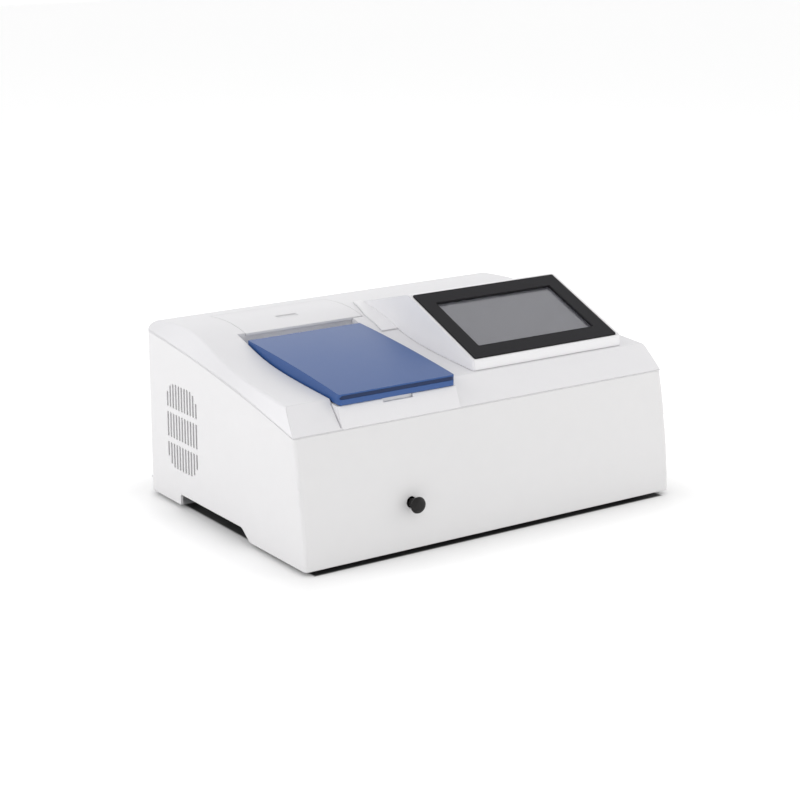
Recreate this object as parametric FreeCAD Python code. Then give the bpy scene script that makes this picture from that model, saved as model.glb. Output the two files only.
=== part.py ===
"""Visible spectrophotometer, bench model, as an assembly of separate pieces. Millimetres.

The pieces are built in case coordinates: X to the right from the middle of the case, Y to the rear from
the lower front edge, Z up from the lower edge of the case. They are moved to the row frame when they are
written: the origin is then the middle of the footprint, at the height of the bench.
"""
import FreeCAD, Part
import math
import os

V = FreeCAD.Vector

# Case: overall sizes and the line of the seam between lower case and top cover
CASE_WIDTH = 470.0
CASE_DEPTH = 328.0
CASE_WALL = 3.0
FRONT_BULGE_Y = 6.0
FRONT_BULGE_Z = 62.0
SEAM_FRONT_Y = 19.7
SEAM_FRONT_Z = 131.6
SEAM_MID_Y = 150.0
SEAM_MID_Z = 158.3
SEAM_REAR_Z = 181.0
SEAM_GAP = 0.9
FRONT_CORNER_R = 4.0
REAR_CORNER_R = 14.0
REAR_FLANGE = 20.0
TONGUE_T = 1.5
TONGUE_DEPTH = 4.0
TONGUE_GAP = 0.3

# Top cover: its profile from front to rear, and how far its shoulders lean in
CHIN_TOP_Y = 44.0
CHIN_TOP_Z = 158.4
SHELF_Y = 119.0
SHELF_Z = 164.0
RAMP_FOOT_Y = 178.0
RAMP_FOOT_Z = 173.4
RAMP_HEAD_Y = 215.0
RAMP_HEAD_Z = 184.2
CREST_Y = 256.0
CREST_Z = 191.6
BACK_Y = (CREST_Y + CASE_DEPTH) / 2
BACK_Z = 191.0
REAR_TOP_Z = 188.0
REAR_EDGE_R = 5.0
SHOULDER_FRONT = 6.0
SHOULDER_REAR = 17.0
SHOULDER_R = 4.0

# Hand grips in the lower edge of the sides
GRIP_FRONT_Y = 108.0
GRIP_RAMP_Y = 124.0
GRIP_REAR_Y = CASE_DEPTH - 74.0
GRIP_HEIGHT = 11.8

# Cooling slots in the sides
VENT_REAR_Y = CASE_DEPTH - 49.0
VENT_COUNT = 11
VENT_PITCH = 6.2
SLOT_WIDTH = 3.0
VENT_LOW_Z = 38.5
VENT_TOP_Z = 132.5
VENT_BAR = 6.0
VENT_CORNER_R = 18.0

# Base plate and feet
PLATE_Z = 14.0
PLATE_T = 2.0
PLATE_GAP = 0.5
PLATE_FLANGE = 12.0
LEDGE_REACH = 10.0
FOOT_STAND = 5.0
FOOT_R = 11.0
FOOT_INSET_X = 34.0
FOOT_INSET_Y = 38.0
SCREW_R = 2.0
SMALL_SCREW_R = 1.4

# Lid bay, lid and hinge
LID_CENTRE_X = -106.0
LID_WIDTH = 140.0
LID_FRONT_Y = 27.2
LID_REAR_Y = 209.0
LID_WALL = 2.5
LID_FRONT_Z = 165.2
LID_CROWN_Y = 110.0
LID_CROWN_Z = 175.4
LID_REAR_Z = 184.0
LID_EDGE_R = 5.0
BAY_GAP = 2.0
BAY_FRONT_Y = 30.0
BAY_FRONT_Z = 153.2
BAY_SLOPE = 0.0775
BAY_WALL = 3.0
RECESS_WALL_Y = 225.0
LID_LIFT = 1.2
LINER_LIFT = 1.6
LINER_T = 2.0
HINGE_Y = 214.0
HINGE_Z = 175.0
PIN_R = 2.0
KNUCKLE_R = 4.0
KNUCKLE_LENGTH = 12.0
HINGE_SPREAD = 48.0
EAR_T = 3.0
RUNNING_GAP = 0.05
NOTCH_WIDTH = 36.0
NOTCH_DEPTH = 1.4
NOTCH_HEIGHT = 3.4
BAND_GROOVE = 1.2

# Sample compartment
MOUTH_WIDTH = 116.0
MOUTH_FRONT_Y = 54.0
MOUTH_REAR_Y = 190.0
MOUTH_R = 8.0
TUB_WALL = 2.0
TUB_FLOOR_Z = 36.0
BEAM_Y = 125.0
BEAM_Z = 71.0
BEAM_R = 5.0
WINDOW_R = 8.0

# Cell carriage, its rod and knob
CELL_COUNT = 4
CELL_PITCH = 16.0
CELL_SIZE = 12.7
CELL_FLOOR_Z = 56.0
HOLDER_TOP_Z = 92.0
HOLDER_WALL = 6.0
CARRIAGE_WIDTH = 60.0
CARRIAGE_LOW_Z = 38.3
CARRIAGE_DECK_Z = 52.0
RAIL_R = 3.0
RAIL_SPREAD = 21.0
RAIL_Z = 44.0
ROD_R = 3.0
ROD_Z = 48.0
KNOB_REACH = 15.5
KNOB_R = 8.75
KNOB_NECK_R = 4.6

# Service cover behind the lid
SERVICE_LEFT_X = -168.0
SERVICE_RIGHT_X = -21.0
SERVICE_REAR_Y = CASE_DEPTH - 28.0
SERVICE_GAP = 0.5
SERVICE_T = 3.0
SERVICE_OVERHANG = 1.0
SERVICE_LIP = 4.0
SLOT_X = -99.5
SLOT_Y = RECESS_WALL_Y + 28.0
SLOT_LENGTH = 26.0
SLOT_HEIGHT = 9.0

# Screen housing, black frame and display
HOUSING_LEFT_X = 1.5
HOUSING_WIDTH = 199.0
HOUSING_FRONT_Y = 47.6
HOUSING_WALL = 2.5
HOUSING_R = 6.0
HOUSING_GAP = 0.4
SKIRT_LEFT_X = -18.0
SKIRT_FRONT_Y = 186.5
SKIRT_T = 1.3
SCREEN_TILT = 21.6
BEZEL_LEFT_X = 5.0
BEZEL_FRONT_Y = 49.6
BEZEL_FRONT_Z = 172.4
BEZEL_WIDTH = 190.5
BEZEL_LENGTH = 122.5
BEZEL_T = 3.0
BEZEL_PROUD = 1.6
BEZEL_R = 1.5
OPENING_WIDTH = 155.4
OPENING_LENGTH = 84.4
GLASS_MARGIN = 6.0
GLASS_T = 1.2
SEAT_GAP = 0.3

# Optics inside
MONO_LEFT_X = -38.0
MONO_RIGHT_X = 186.0
MONO_FRONT_Y = 68.0
MONO_REAR_Y = CASE_DEPTH - CASE_WALL - 63.0
MONO_TOP_Z = 110.0
MONO_WALL = 5.0
ENTRANCE_Y = MONO_REAR_Y - 18.0
COLLIMATOR_Y = ENTRANCE_Y - 22.0
FOCUS_Y = BEAM_Y + 23.0
GRATING_X = 32.0
GRATING_Y = (COLLIMATOR_Y + FOCUS_Y) / 2
TABLE_R = 20.0
ARM_LENGTH = 56.0
ARM_Z = 29.0
ROLLER_R = 4.0
MIRROR_X = 160.0
MIRROR_R = 18.0
WHEEL_R = 18.5
WHEEL_T = 3.0
WHEEL_X = -47.0
FILTER_CIRCLE_R = 13.0
FILTER_R = 4.5
FILTER_COUNT = 6
SHAFT_R = 1.5

# Circuit boards
BOARD_T = 1.6
BOARD_STAND = 8.0

# Rear panel and what it carries
PANEL_T = 1.5
FAN_X = -95.0
FAN_Z = 84.0
FAN_SIZE = 60.0
FAN_DEPTH = 15.0
FAN_BLADES = 7
INLET_X = 168.0
SWITCH_X = 112.0
SOCKET_ROW_Z = 52.0
USB_X = 30.0


# Plain building helpers

def wire_from(outline, place):
    """A closed wire. Each item is a point, ("arc", via, end) or ("curve", [points])."""
    edges = []
    here = outline[0]
    for item in list(outline[1:]) + [outline[0]]:
        if item[0] == "arc":
            edges.append(Part.Arc(place(here), place(item[1]), place(item[2])).toShape())
            here = item[2]
        elif item[0] == "curve":
            curve = Part.BSplineCurve()
            curve.interpolate([place(here)] + [place(p) for p in item[1]])
            edges.append(curve.toShape())
            here = item[1][-1]
        else:
            if math.dist(here, item) > 1e-6:
                edges.append(Part.LineSegment(place(here), place(item)).toShape())
            here = item
    return Part.Wire(edges)


def along_x(outline, x0, x1):
    wire = wire_from(outline, lambda p: V(x0, p[0], p[1]))
    return Part.Face(wire).extrude(V(x1 - x0, 0, 0))


def along_y(outline, y0, y1):
    wire = wire_from(outline, lambda p: V(p[0], y0, p[1]))
    return Part.Face(wire).extrude(V(0, y1 - y0, 0))


def along_z(outline, z0, z1):
    wire = wire_from(outline, lambda p: V(p[0], p[1], z0))
    return Part.Face(wire).extrude(V(0, 0, z1 - z0))


def block(x0, x1, y0, y1, z0, z1):
    return Part.makeBox(x1 - x0, y1 - y0, z1 - z0, V(x0, y0, z0))


def rod_x(x0, x1, y, z, r):
    return Part.makeCylinder(r, x1 - x0, V(x0, y, z), V(1, 0, 0))


def rod_y(y0, y1, x, z, r):
    return Part.makeCylinder(r, y1 - y0, V(x, y0, z), V(0, 1, 0))


def rod_z(z0, z1, x, y, r):
    return Part.makeCylinder(r, z1 - z0, V(x, y, z0), V(0, 0, 1))


def round_rect(a0, a1, b0, b1, r):
    """A rectangle with round corners, as an outline."""
    k = r * (1 - math.sqrt(0.5))
    return [(a0 + r, b0), (a1 - r, b0), ("arc", (a1 - k, b0 + k), (a1, b0 + r)), (a1, b1 - r),
            ("arc", (a1 - k, b1 - k), (a1 - r, b1)), (a0 + r, b1), ("arc", (a0 + k, b1 - k), (a0, b1 - r)),
            (a0, b0 + r), ("arc", (a0 + k, b0 + k), (a0 + r, b0))]


def join(shapes):
    first = shapes[0]
    return first.fuse(shapes[1:]).removeSplitter() if len(shapes) > 1 else first


def turned(profile, origin, axis):
    """A solid of revolution: profile holds (radius, height) points along the axis from origin."""
    wire = wire_from([(r, h) for r, h in profile], lambda p: V(p[0], 0, p[1]))
    solid = Part.Face(wire).revolve(V(0, 0, 0), V(0, 0, 1), 360)
    solid.Placement = FreeCAD.Placement(origin, FreeCAD.Rotation(V(0, 0, 1), axis))
    return solid


def sided(n, r):
    """Corners of a regular outline that stands in for a circle on small things."""
    return [(r * math.cos(2 * math.pi * i / n), r * math.sin(2 * math.pi * i / n)) for i in range(n)]


def prism(origin, axis, outline, low, high):
    """An outline in the plane across the axis, raised from low to high along it."""
    solid = along_z(outline, low, high)
    solid.Placement = FreeCAD.Placement(origin, FreeCAD.Rotation(V(0, 0, 1), axis))
    return solid


def circle_through(p, q, s):
    """Centre and radius of the circle through three points."""
    d = 2 * (p[0] * (q[1] - s[1]) + q[0] * (s[1] - p[1]) + s[0] * (p[1] - q[1]))
    pp, qq, ss = (a[0] ** 2 + a[1] ** 2 for a in (p, q, s))
    cx = (pp * (q[1] - s[1]) + qq * (s[1] - p[1]) + ss * (p[1] - q[1])) / d
    cy = (pp * (s[0] - q[0]) + qq * (p[0] - s[0]) + ss * (q[0] - p[0])) / d
    return cx, cy, math.dist((cx, cy), p)


# Lines of the case that several pieces share

def seam_z(y):
    rear = (CASE_DEPTH, SEAM_REAR_Z)
    cx, cy, r = circle_through((SEAM_FRONT_Y, SEAM_FRONT_Z), (SEAM_MID_Y, SEAM_MID_Z), rear)
    return cy + math.copysign(math.sqrt(r * r - (y - cx) ** 2), SEAM_MID_Z - cy)


def front_y(z):
    cx, cy, r = circle_through((0.0, 0.0), (FRONT_BULGE_Y, FRONT_BULGE_Z), (SEAM_FRONT_Y, SEAM_FRONT_Z))
    return cx + math.copysign(math.sqrt(r * r - (z - cy) ** 2), FRONT_BULGE_Y - cx)


def top_points(lift=0.0):
    points = [(CHIN_TOP_Y, CHIN_TOP_Z), (SHELF_Y, SHELF_Z), (RAMP_FOOT_Y, RAMP_FOOT_Z),
              (RAMP_HEAD_Y, RAMP_HEAD_Z), (CREST_Y, CREST_Z), (BACK_Y, BACK_Z), (CASE_DEPTH, REAR_TOP_Z)]
    return [(y, z + lift) for y, z in points]


def top_z(y):
    """Height of the top surface at a depth, read from the same curve that shapes it."""
    curve = Part.BSplineCurve()
    curve.interpolate([V(0, p, q) for p, q in top_points()])
    low, high = curve.FirstParameter, curve.LastParameter
    for _ in range(40):
        middle = (low + high) / 2
        if curve.value(middle).y < y:
            low = middle
        else:
            high = middle
    return curve.value(low).z


def bay_floor_z(y):
    return BAY_FRONT_Z + (y - BAY_FRONT_Y) * BAY_SLOPE


HALF = CASE_WIDTH / 2
PLATE_TOP = PLATE_Z + PLATE_T
PANEL_Y = CASE_DEPTH - CASE_WALL
LID_LEFT_X = LID_CENTRE_X - LID_WIDTH / 2
LID_RIGHT_X = LID_CENTRE_X + LID_WIDTH / 2
BAY_LEFT_X = LID_LEFT_X - BAY_GAP
BAY_RIGHT_X = LID_RIGHT_X + BAY_GAP
MOUTH_LEFT_X = LID_CENTRE_X - MOUTH_WIDTH / 2
MOUTH_RIGHT_X = LID_CENTRE_X + MOUTH_WIDTH / 2
CARRIAGE_LENGTH = (CELL_COUNT - 1) * CELL_PITCH + CELL_SIZE + 2 * HOLDER_WALL
CARRIAGE_FRONT_Y = BEAM_Y - CELL_SIZE / 2 - HOLDER_WALL
KNOB_NOSE_Y = front_y(ROD_Z) - KNOB_REACH
HOUSING_RIGHT_X = HOUSING_LEFT_X + HOUSING_WIDTH
WHEEL_Z = BEAM_Z + FILTER_CIRCLE_R
LENS_X = WHEEL_X - 30.0
LAMP_X = LENS_X - 34.0
ROW_SHIFT = V(0, -(CASE_DEPTH + KNOB_NOSE_Y) / 2, FOOT_STAND)


# Lower case

def lower_profile(inset, drop, rear):
    """Side view of the lower case, moved in from the front by inset and down from the seam by drop."""
    cut = -20.0 if inset else 0.0
    mid = front_y(FRONT_BULGE_Z) + inset
    front = ("arc", (mid, FRONT_BULGE_Z), (SEAM_FRONT_Y + inset, SEAM_FRONT_Z - drop))
    seam = ("arc", (SEAM_MID_Y, SEAM_MID_Z - drop), (rear, SEAM_REAR_Z - drop))
    return [(inset, cut), (inset, 0.0), front, seam, (rear, cut)]


def grip_cut():
    high = GRIP_HEIGHT
    ramp = ("arc", (GRIP_RAMP_Y + 0.5, high - 0.4), (GRIP_RAMP_Y + 4, high))
    rear = ("arc", (GRIP_REAR_Y - 0.6, high - 0.6), (GRIP_REAR_Y, high - 2))
    outline = [(GRIP_FRONT_Y, -1.0), (GRIP_FRONT_Y, 0.0), (GRIP_RAMP_Y - 2, high - 1.5), ramp,
               (GRIP_REAR_Y - 2, high), rear, (GRIP_REAR_Y, -1.0)]
    return along_x(outline, -HALF - 1, HALF + 1)


def vent_slots(x0, x1):
    """Three rows of upright slots inside one rounded outline, each with chamfered ends."""
    field = VENT_TOP_Z - VENT_LOW_Z
    row = (field - 2 * VENT_BAR) / 3
    first_y = VENT_REAR_Y - (VENT_COUNT - 1) * VENT_PITCH - SLOT_WIDTH
    slots = []
    for i in range(VENT_COUNT):
        y = first_y + i * VENT_PITCH
        middle = y + SLOT_WIDTH / 2
        edge = min(middle - first_y, VENT_REAR_Y - middle)
        drop = 0.0
        if edge < VENT_CORNER_R:
            drop = VENT_CORNER_R - math.sqrt(VENT_CORNER_R ** 2 - (VENT_CORNER_R - edge) ** 2)
        for k in range(3):
            low = VENT_LOW_Z + k * (row + VENT_BAR) + (drop if k == 0 else 0.0)
            high = VENT_LOW_Z + k * (row + VENT_BAR) + row - (drop if k == 2 else 0.0)
            c = SLOT_WIDTH / 4
            far = y + SLOT_WIDTH
            outline = [(y, low + c), (y + c, low), (far - c, low), (far, low + c)]
            outline += [(far, high - c), (far - c, high), (y + c, high), (y, high - c)]
            slots.append(along_x(outline, x0, x1))
    return slots


def lower_case():
    half_gap = SEAM_GAP / 2
    body = along_x(lower_profile(0.0, half_gap, CASE_DEPTH), -HALF, HALF)
    upright = [e for e in body.Edges if e.BoundBox.XLength < 0.01 and e.BoundBox.ZLength > 100]
    body = body.makeFillet(FRONT_CORNER_R, [e for e in upright if e.BoundBox.YMin < 1])
    rear = [e for e in body.Edges if e.BoundBox.YMin > CASE_DEPTH - 0.1 and e.BoundBox.ZLength > 100]
    body = body.makeFillet(REAR_CORNER_R, rear)
    x = HALF - CASE_WALL
    hollow = along_x(lower_profile(CASE_WALL, -10.0, PANEL_Y), -x, x)
    hollow = hollow.common(along_z(round_rect(-x, x, -60.0, PANEL_Y, REAR_CORNER_R - CASE_WALL), -30, 300))
    window = x - REAR_FLANGE
    rear_window = block(-window, window, PANEL_Y - 1, CASE_DEPTH + 1, -1, SEAM_REAR_Z + 5)
    body = body.cut([hollow, rear_window, grip_cut()])
    reach = x - LEDGE_REACH
    ledge_low = PLATE_Z - 2.0
    front_ledge = block(-x, x, CASE_WALL, CASE_WALL + LEDGE_REACH + 2, ledge_low, PLATE_Z)
    front_ledge = front_ledge.common(along_x(lower_profile(0.5, half_gap, PANEL_Y), -x - 0.5, x + 0.5))
    ledges = [block(-x - 0.5, -reach, CASE_WALL + 2, PANEL_Y, ledge_low, PLATE_Z),
              block(reach, x + 0.5, CASE_WALL + 2, PANEL_Y, ledge_low, PLATE_Z), front_ledge]
    body = join([body] + ledges)
    loose = SMALL_SCREW_R + 0.3
    holes = [screw_hole(V(px, py, PLATE_Z), V(0, 0, 1), loose) for px, py in base_screw_places()]
    for px, pz in panel_screw_places():
        holes.append(screw_hole(V(px, PANEL_Y, pz), V(0, 1, 0), loose))
        holes.append(prism(V(px, PANEL_Y, pz), V(0, 1, 0), sided(12, 3.4), 1.0, CASE_WALL + 1))
    rod_hole = rod_y(-1, 20, LID_CENTRE_X, ROD_Z, ROD_R + 3.0)
    vents = vent_slots(-HALF - 1, -x + 1) + vent_slots(x - 1, HALF + 1)
    return body.cut(holes + [rod_hole] + vents)


def base_screw_places():
    side = HALF - CASE_WALL - LEDGE_REACH / 2
    depths = (70.0, CASE_DEPTH - 53.0)
    return [(s * side, y) for s in (-1, 1) for y in depths] + [(-150.0, 13.0), (150.0, 13.0)]


def screw_hole(middle, axis, r):
    """Tool for a hole that a screw's eight-sided shank goes through, its flats the same way round."""
    return prism(middle, axis, sided(8, r), -5.0, 5.0)


# Top cover

def shoulder_lean(y):
    """How far the shoulder lies inside the side of the case at a depth."""
    share = min(max((y - CHIN_TOP_Y) / (CREST_Y - CHIN_TOP_Y), 0.0), 1.0)
    return SHOULDER_FRONT + (SHOULDER_REAR - SHOULDER_FRONT) * share


def side_cutter(inset, sign):
    """The space outside one leaning side of the top cover, moved in by inset."""
    first, last, count = CHIN_TOP_Y - 40, CASE_DEPTH + 10, 8
    lines = []
    for share in (-0.7, 1.7):
        points = []
        for i in range(count + 1):
            y = first + (last - first) * i / count
            low = seam_z(y)
            x = HALF - inset - share * shoulder_lean(y)
            points.append(V(sign * x, y, low + share * (top_z(y) - low)))
        curve = Part.BSplineCurve()
        curve.interpolate(points)
        lines.append(curve.toShape())
    return Part.makeRuledSurface(lines[0], lines[1]).extrude(V(sign * 60, 0, 0))


def cover_block(inset):
    """The closed outer form of the top cover above the seam, moved in by inset on every side."""
    crown = [(y, z - inset) for y, z in top_points()]
    start = CHIN_TOP_Y - 35
    beyond = CASE_DEPTH + 8
    side = [(start, 60.0), (start, crown[0][1]), crown[0], ("curve", crown[1:]), (beyond, crown[-1][1]),
            (beyond, 60.0)]
    form = along_x(side, -HALF - 20, HALF + 20).cut([side_cutter(inset, -1), side_cutter(inset, 1)])
    if SHOULDER_R - inset > 1.0:
        high = [e for e in form.Edges if e.BoundBox.ZMin > CHIN_TOP_Z - inset - 1]
        outer_x = HALF - SHOULDER_REAR - 15
        ridges = [e for e in high if e.BoundBox.YLength > 40 and abs(e.BoundBox.Center.x) > outer_x]
        form = form.makeFillet(SHOULDER_R - inset, ridges)
    lean = math.atan2(CHIN_TOP_Y - SEAM_FRONT_Y, CHIN_TOP_Z - SEAM_FRONT_Z)
    slide = inset / math.cos(lean)
    rear = CASE_DEPTH - inset
    gap = SEAM_GAP / 2 if inset == 0 else -12.0
    top = CREST_Z + 30
    foot = SEAM_FRONT_Y + slide
    shift = (CHIN_TOP_Y - SEAM_FRONT_Y) / (CHIN_TOP_Z - SEAM_FRONT_Z)
    radius = max(REAR_EDGE_R - inset, 1.0)
    corner = REAR_TOP_Z - inset
    k = radius * (1 - math.sqrt(0.5))
    seam = ("arc", (SEAM_MID_Y, SEAM_MID_Z + gap), (rear, SEAM_REAR_Z + gap))
    edge = ("arc", (rear - k, corner - k), (rear - radius, corner + 0.3))
    side = [(foot + shift * gap, SEAM_FRONT_Z + gap), seam, (rear, corner - radius), edge,
            (rear - radius - 8, top), (foot + shift * (top - SEAM_FRONT_Z), top)]
    form = form.common(along_x(side, -HALF - 5, HALF + 5))
    plan = round_rect(-HALF + inset, HALF - inset, -60.0, rear, REAR_CORNER_R - inset)
    return form.common(along_z(plan, 60, 300))


def bay_outline(lower, front_drop):
    """Side view of the lid bay: floor, recess wall at the rear, open at the top and front."""
    y0, y1 = BAY_FRONT_Y - front_drop, RECESS_WALL_Y + lower
    top = CREST_Z + 30
    return [(y0, bay_floor_z(y0) - lower), (y1, bay_floor_z(y1) - lower), (y1, top), (y0, top)]


def mouth(grow, low, high):
    plan = round_rect(MOUTH_LEFT_X - grow, MOUTH_RIGHT_X + grow, MOUTH_FRONT_Y - grow, MOUTH_REAR_Y + grow,
                      MOUTH_R + grow)
    return along_z(plan, low, high)


def service_region(grow, front):
    """Plan of the service cover, from its front edge to its rear edge."""
    return block(SERVICE_LEFT_X - grow, SERVICE_RIGHT_X + grow, front, SERVICE_REAR_Y + grow, 150, 230)


def under_top(lift, y0, y1):
    """Everything below the top line moved by lift, between two depths, over the whole width."""
    line = ("curve", top_points(lift)[1:])
    outline = [(CHIN_TOP_Y, CHIN_TOP_Z + lift), line, (CASE_DEPTH, 100.0), (CHIN_TOP_Y, 100.0)]
    return along_x(outline, -HALF, HALF).common(block(-HALF, HALF, y0, y1, 90, 300))


def top_layer(low, high, y0, y1):
    """A layer that follows the top line, between two heights from it."""
    return under_top(high, y0, y1).cut(under_top(low, y0 - 1, y1 + 1))


def top_cover():
    shell = cover_block(0.0).cut(cover_block(CASE_WALL))
    low = SEAM_FRONT_Z + SEAM_GAP / 2
    behind = CHIN_TOP_Y + 2
    band = along_x([(SEAM_FRONT_Y + 0.2, low), (BAY_FRONT_Y, BAY_FRONT_Z), (behind, bay_floor_z(behind)),
                    (behind - 10, low + 4), (SEAM_FRONT_Y + 4, low)], BAY_LEFT_X, BAY_RIGHT_X)
    bay = along_x(bay_outline(BAY_WALL, -6.0), BAY_LEFT_X - BAY_WALL, BAY_RIGHT_X + BAY_WALL)
    body = join([shell, bay.common(cover_block(0.5)), band] + tongues())
    body = body.cut(along_x(bay_outline(0.0, 12.0), BAY_LEFT_X, BAY_RIGHT_X))
    y0, y1 = RECESS_WALL_Y, SERVICE_REAR_Y
    around = block(SERVICE_LEFT_X - 5, SERVICE_RIGHT_X + 5, y0 + 1, y1 + 5, 100, 230)
    ledge = top_layer(-SERVICE_T - 2.5, 1.0 - SERVICE_T, y0, y1 + 5).common(around)
    seat = service_region(SERVICE_GAP, y0 - SERVICE_OVERHANG - 2).cut(under_top(-SERVICE_T, y0 - 8, y1 + 6))
    hatch = block(SERVICE_LEFT_X + 6, SERVICE_RIGHT_X - 6, y0 + 7, y1 - 6, 100, 230)
    body = join([body, ledge])
    half = NOTCH_WIDTH / 2
    notch = block(LID_CENTRE_X - half, LID_CENTRE_X + half, BAY_FRONT_Y - 6, BAY_FRONT_Y + NOTCH_DEPTH,
                  BAY_FRONT_Z - NOTCH_HEIGHT, BAY_FRONT_Z + 5)
    cable_hole = rod_z(100, 230, HOUSING_LEFT_X + HOUSING_WIDTH / 2, 110, 14)
    return body.cut([seat, hatch, mouth(-1.0, 100, 200), notch, cable_hole, band_groove()])


def band_groove():
    """Narrow groove in the chin beside the left end of the band under the lid."""
    deep = 2.2
    lean = (CHIN_TOP_Y - SEAM_FRONT_Y) / (CHIN_TOP_Z - SEAM_FRONT_Z)
    y0 = SEAM_FRONT_Y - 10 * lean
    low, high = SEAM_FRONT_Z + SEAM_GAP / 2 + 1.5, BAY_FRONT_Z + 1.0
    foot = y0 + lean * (low - SEAM_FRONT_Z + 10)
    head = y0 + lean * (high - SEAM_FRONT_Z + 10)
    outline = [(foot - 8, low), (foot + deep, low), (head + deep, high), (head - 8, high)]
    return along_x(outline, BAY_LEFT_X - BAND_GROOVE, BAY_LEFT_X)


def tongues():
    """Strips on the inside that reach below the seam, so that the seam isn't open to the inside."""
    x1 = HALF - CASE_WALL - TONGUE_GAP
    x0 = x1 - TONGUE_T
    y0 = SEAM_FRONT_Y + CASE_WALL + TONGUE_GAP
    low, high = -TONGUE_DEPTH, 5.0
    rear = CASE_DEPTH - REAR_CORNER_R
    lower = ("arc", (SEAM_MID_Y, SEAM_MID_Z + low), (rear, seam_z(rear) + low))
    upper = ("arc", (SEAM_MID_Y, SEAM_MID_Z + high), (y0, seam_z(y0) + high))
    side = [(y0, seam_z(y0) + low), lower, (rear, seam_z(rear) + high), upper]
    front = block(-x1, x1, y0, y0 + TONGUE_T, SEAM_FRONT_Z + low, SEAM_FRONT_Z + 2.5)
    within = cover_block(1.0)
    return [along_x(side, -x1, -x0).common(within), along_x(side, x0, x1).common(within), front]


# Rear panel with its cut-outs

def rear_panel():
    x = HALF - REAR_CORNER_R - 0.3
    top = REAR_TOP_Z - max(REAR_EDGE_R, CASE_WALL + 1.0) - 0.5
    plate = along_y(round_rect(-x, x, PLATE_TOP, top, 3.0), PANEL_Y - PANEL_T, PANEL_Y)
    y0, y1 = PANEL_Y - PANEL_T - 1, PANEL_Y + 1
    fan = rod_y(y0, y1, FAN_X, FAN_Z, FAN_SIZE / 2 - 2)
    inlet = block(INLET_X - 14, INLET_X + 14, y0, y1, SOCKET_ROW_Z - 19, SOCKET_ROW_Z + 13)
    switch = block(SWITCH_X - 14, SWITCH_X + 14, y0, y1, SOCKET_ROW_Z - 7, SOCKET_ROW_Z + 7)
    z = SOCKET_ROW_Z
    ports = [block(px - w / 2, px + w / 2, y0, y1, z - h / 2, z + h / 2) for px, w, h in usb_sizes(0.4)]
    r = SMALL_SCREW_R + 0.1
    screws = [screw_hole(V(px, PANEL_Y, pz), V(0, 1, 0), r) for px, pz in panel_screw_places()]
    return plate.cut([fan, inlet, switch] + ports + screws)


def usb_sizes(grow):
    return [(USB_X, 13.2 + grow, 5.8 + grow), (USB_X + 26, 12.0 + grow, 11.0 + grow)]


def panel_screw_places():
    x = HALF - CASE_WALL - REAR_FLANGE + 4.5
    return [(s * x, z) for s in (-1, 1) for z in (34.0, 96.0, 158.0)]


def screw(origin, axis, r, head_r, head, length):
    """Hexagon-head screw: origin under the head, axis pointing into the hole."""
    shank = prism(origin, axis, sided(8, r), -head / 2, length)
    return join([prism(origin, axis, sided(6, head_r), -head, 0.0), shank])


# Base plate, feet and their screws

def foot_places():
    depths = (FOOT_INSET_Y, CASE_DEPTH - FOOT_INSET_Y)
    return [(sx * (HALF - FOOT_INSET_X), y) for sx in (-1, 1) for y in depths]


def base_plate():
    x = HALF - CASE_WALL - PLATE_GAP
    y0 = front_y(PLATE_TOP) + CASE_WALL + PLATE_GAP + 1
    y1 = PANEL_Y - PANEL_T - 0.3
    high = PLATE_TOP + PLATE_FLANGE
    r = REAR_CORNER_R - CASE_WALL
    t = PLATE_T
    outer = along_z(round_rect(-x, x, y0 - 60, y1, r), PLATE_Z, high)
    outer = outer.common(block(-x, x, y0, y1, PLATE_Z, high))
    inner = along_z(round_rect(-x + t, x - t, y0 - 60, y1 - t, r - t), PLATE_TOP, high + 1)
    inner = inner.common(block(-x, x, y0 + t, y1, PLATE_TOP, high + 1))
    up = V(0, 0, 1)
    holes = [screw_hole(V(px, py, PLATE_TOP), up, SMALL_SCREW_R + 0.1) for px, py in base_screw_places()]
    holes += [screw_hole(V(px, py, PLATE_TOP), up, SCREW_R + 0.1) for px, py in foot_places()]
    for i in range(8):
        x0 = INLET_X - 58 + 9 * i
        holes.append(block(x0, x0 + 3, PANEL_Y - 50, PANEL_Y - 20, PLATE_Z - 1, PLATE_TOP + 1))
    return outer.cut([inner] + holes)


def rubber_feet():
    feet = []
    for x, y in foot_places():
        height = PLATE_Z + FOOT_STAND
        bore = SCREW_R + 0.1
        profile = [(bore, 5.0), (5.0, 5.0), (5.0, 0.0), (FOOT_R - 1.5, 0.0), (FOOT_R, height), (bore, height)]
        feet.append(turned(profile, V(x, y, -FOOT_STAND), V(0, 0, 1)))
    return feet


def feet_screws():
    up, r = V(0, 0, 1), SCREW_R - 0.05
    return [screw(V(x, y, 0.0), up, r, 4.2, 2.4, PLATE_TOP + 4) for x, y in foot_places()]


def case_screws():
    """Small screws of one kind: up through the ledges, and forward through the rear flanges."""
    places = [(V(x, y, PLATE_Z - 2.0), V(0, 0, 1)) for x, y in base_screw_places()]
    places += [(V(x, PANEL_Y + 1.0, z), V(0, -1, 0)) for x, z in panel_screw_places()]
    return [screw(origin, axis, SMALL_SCREW_R, 3.0, 1.8, 7.0) for origin, axis in places]


# Sample compartment

def below_bay(extra):
    """Space under the bay floor, whose underside lies extra below the floor plane."""
    y0, y1 = MOUTH_FRONT_Y - 20, MOUTH_REAR_Y + 20
    z0, z1 = bay_floor_z(y0) - extra, bay_floor_z(y1) - extra
    return along_x([(y0, 0.0), (y0, z0), (y1, z1), (y1, 0.0)], -HALF, HALF)


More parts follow.
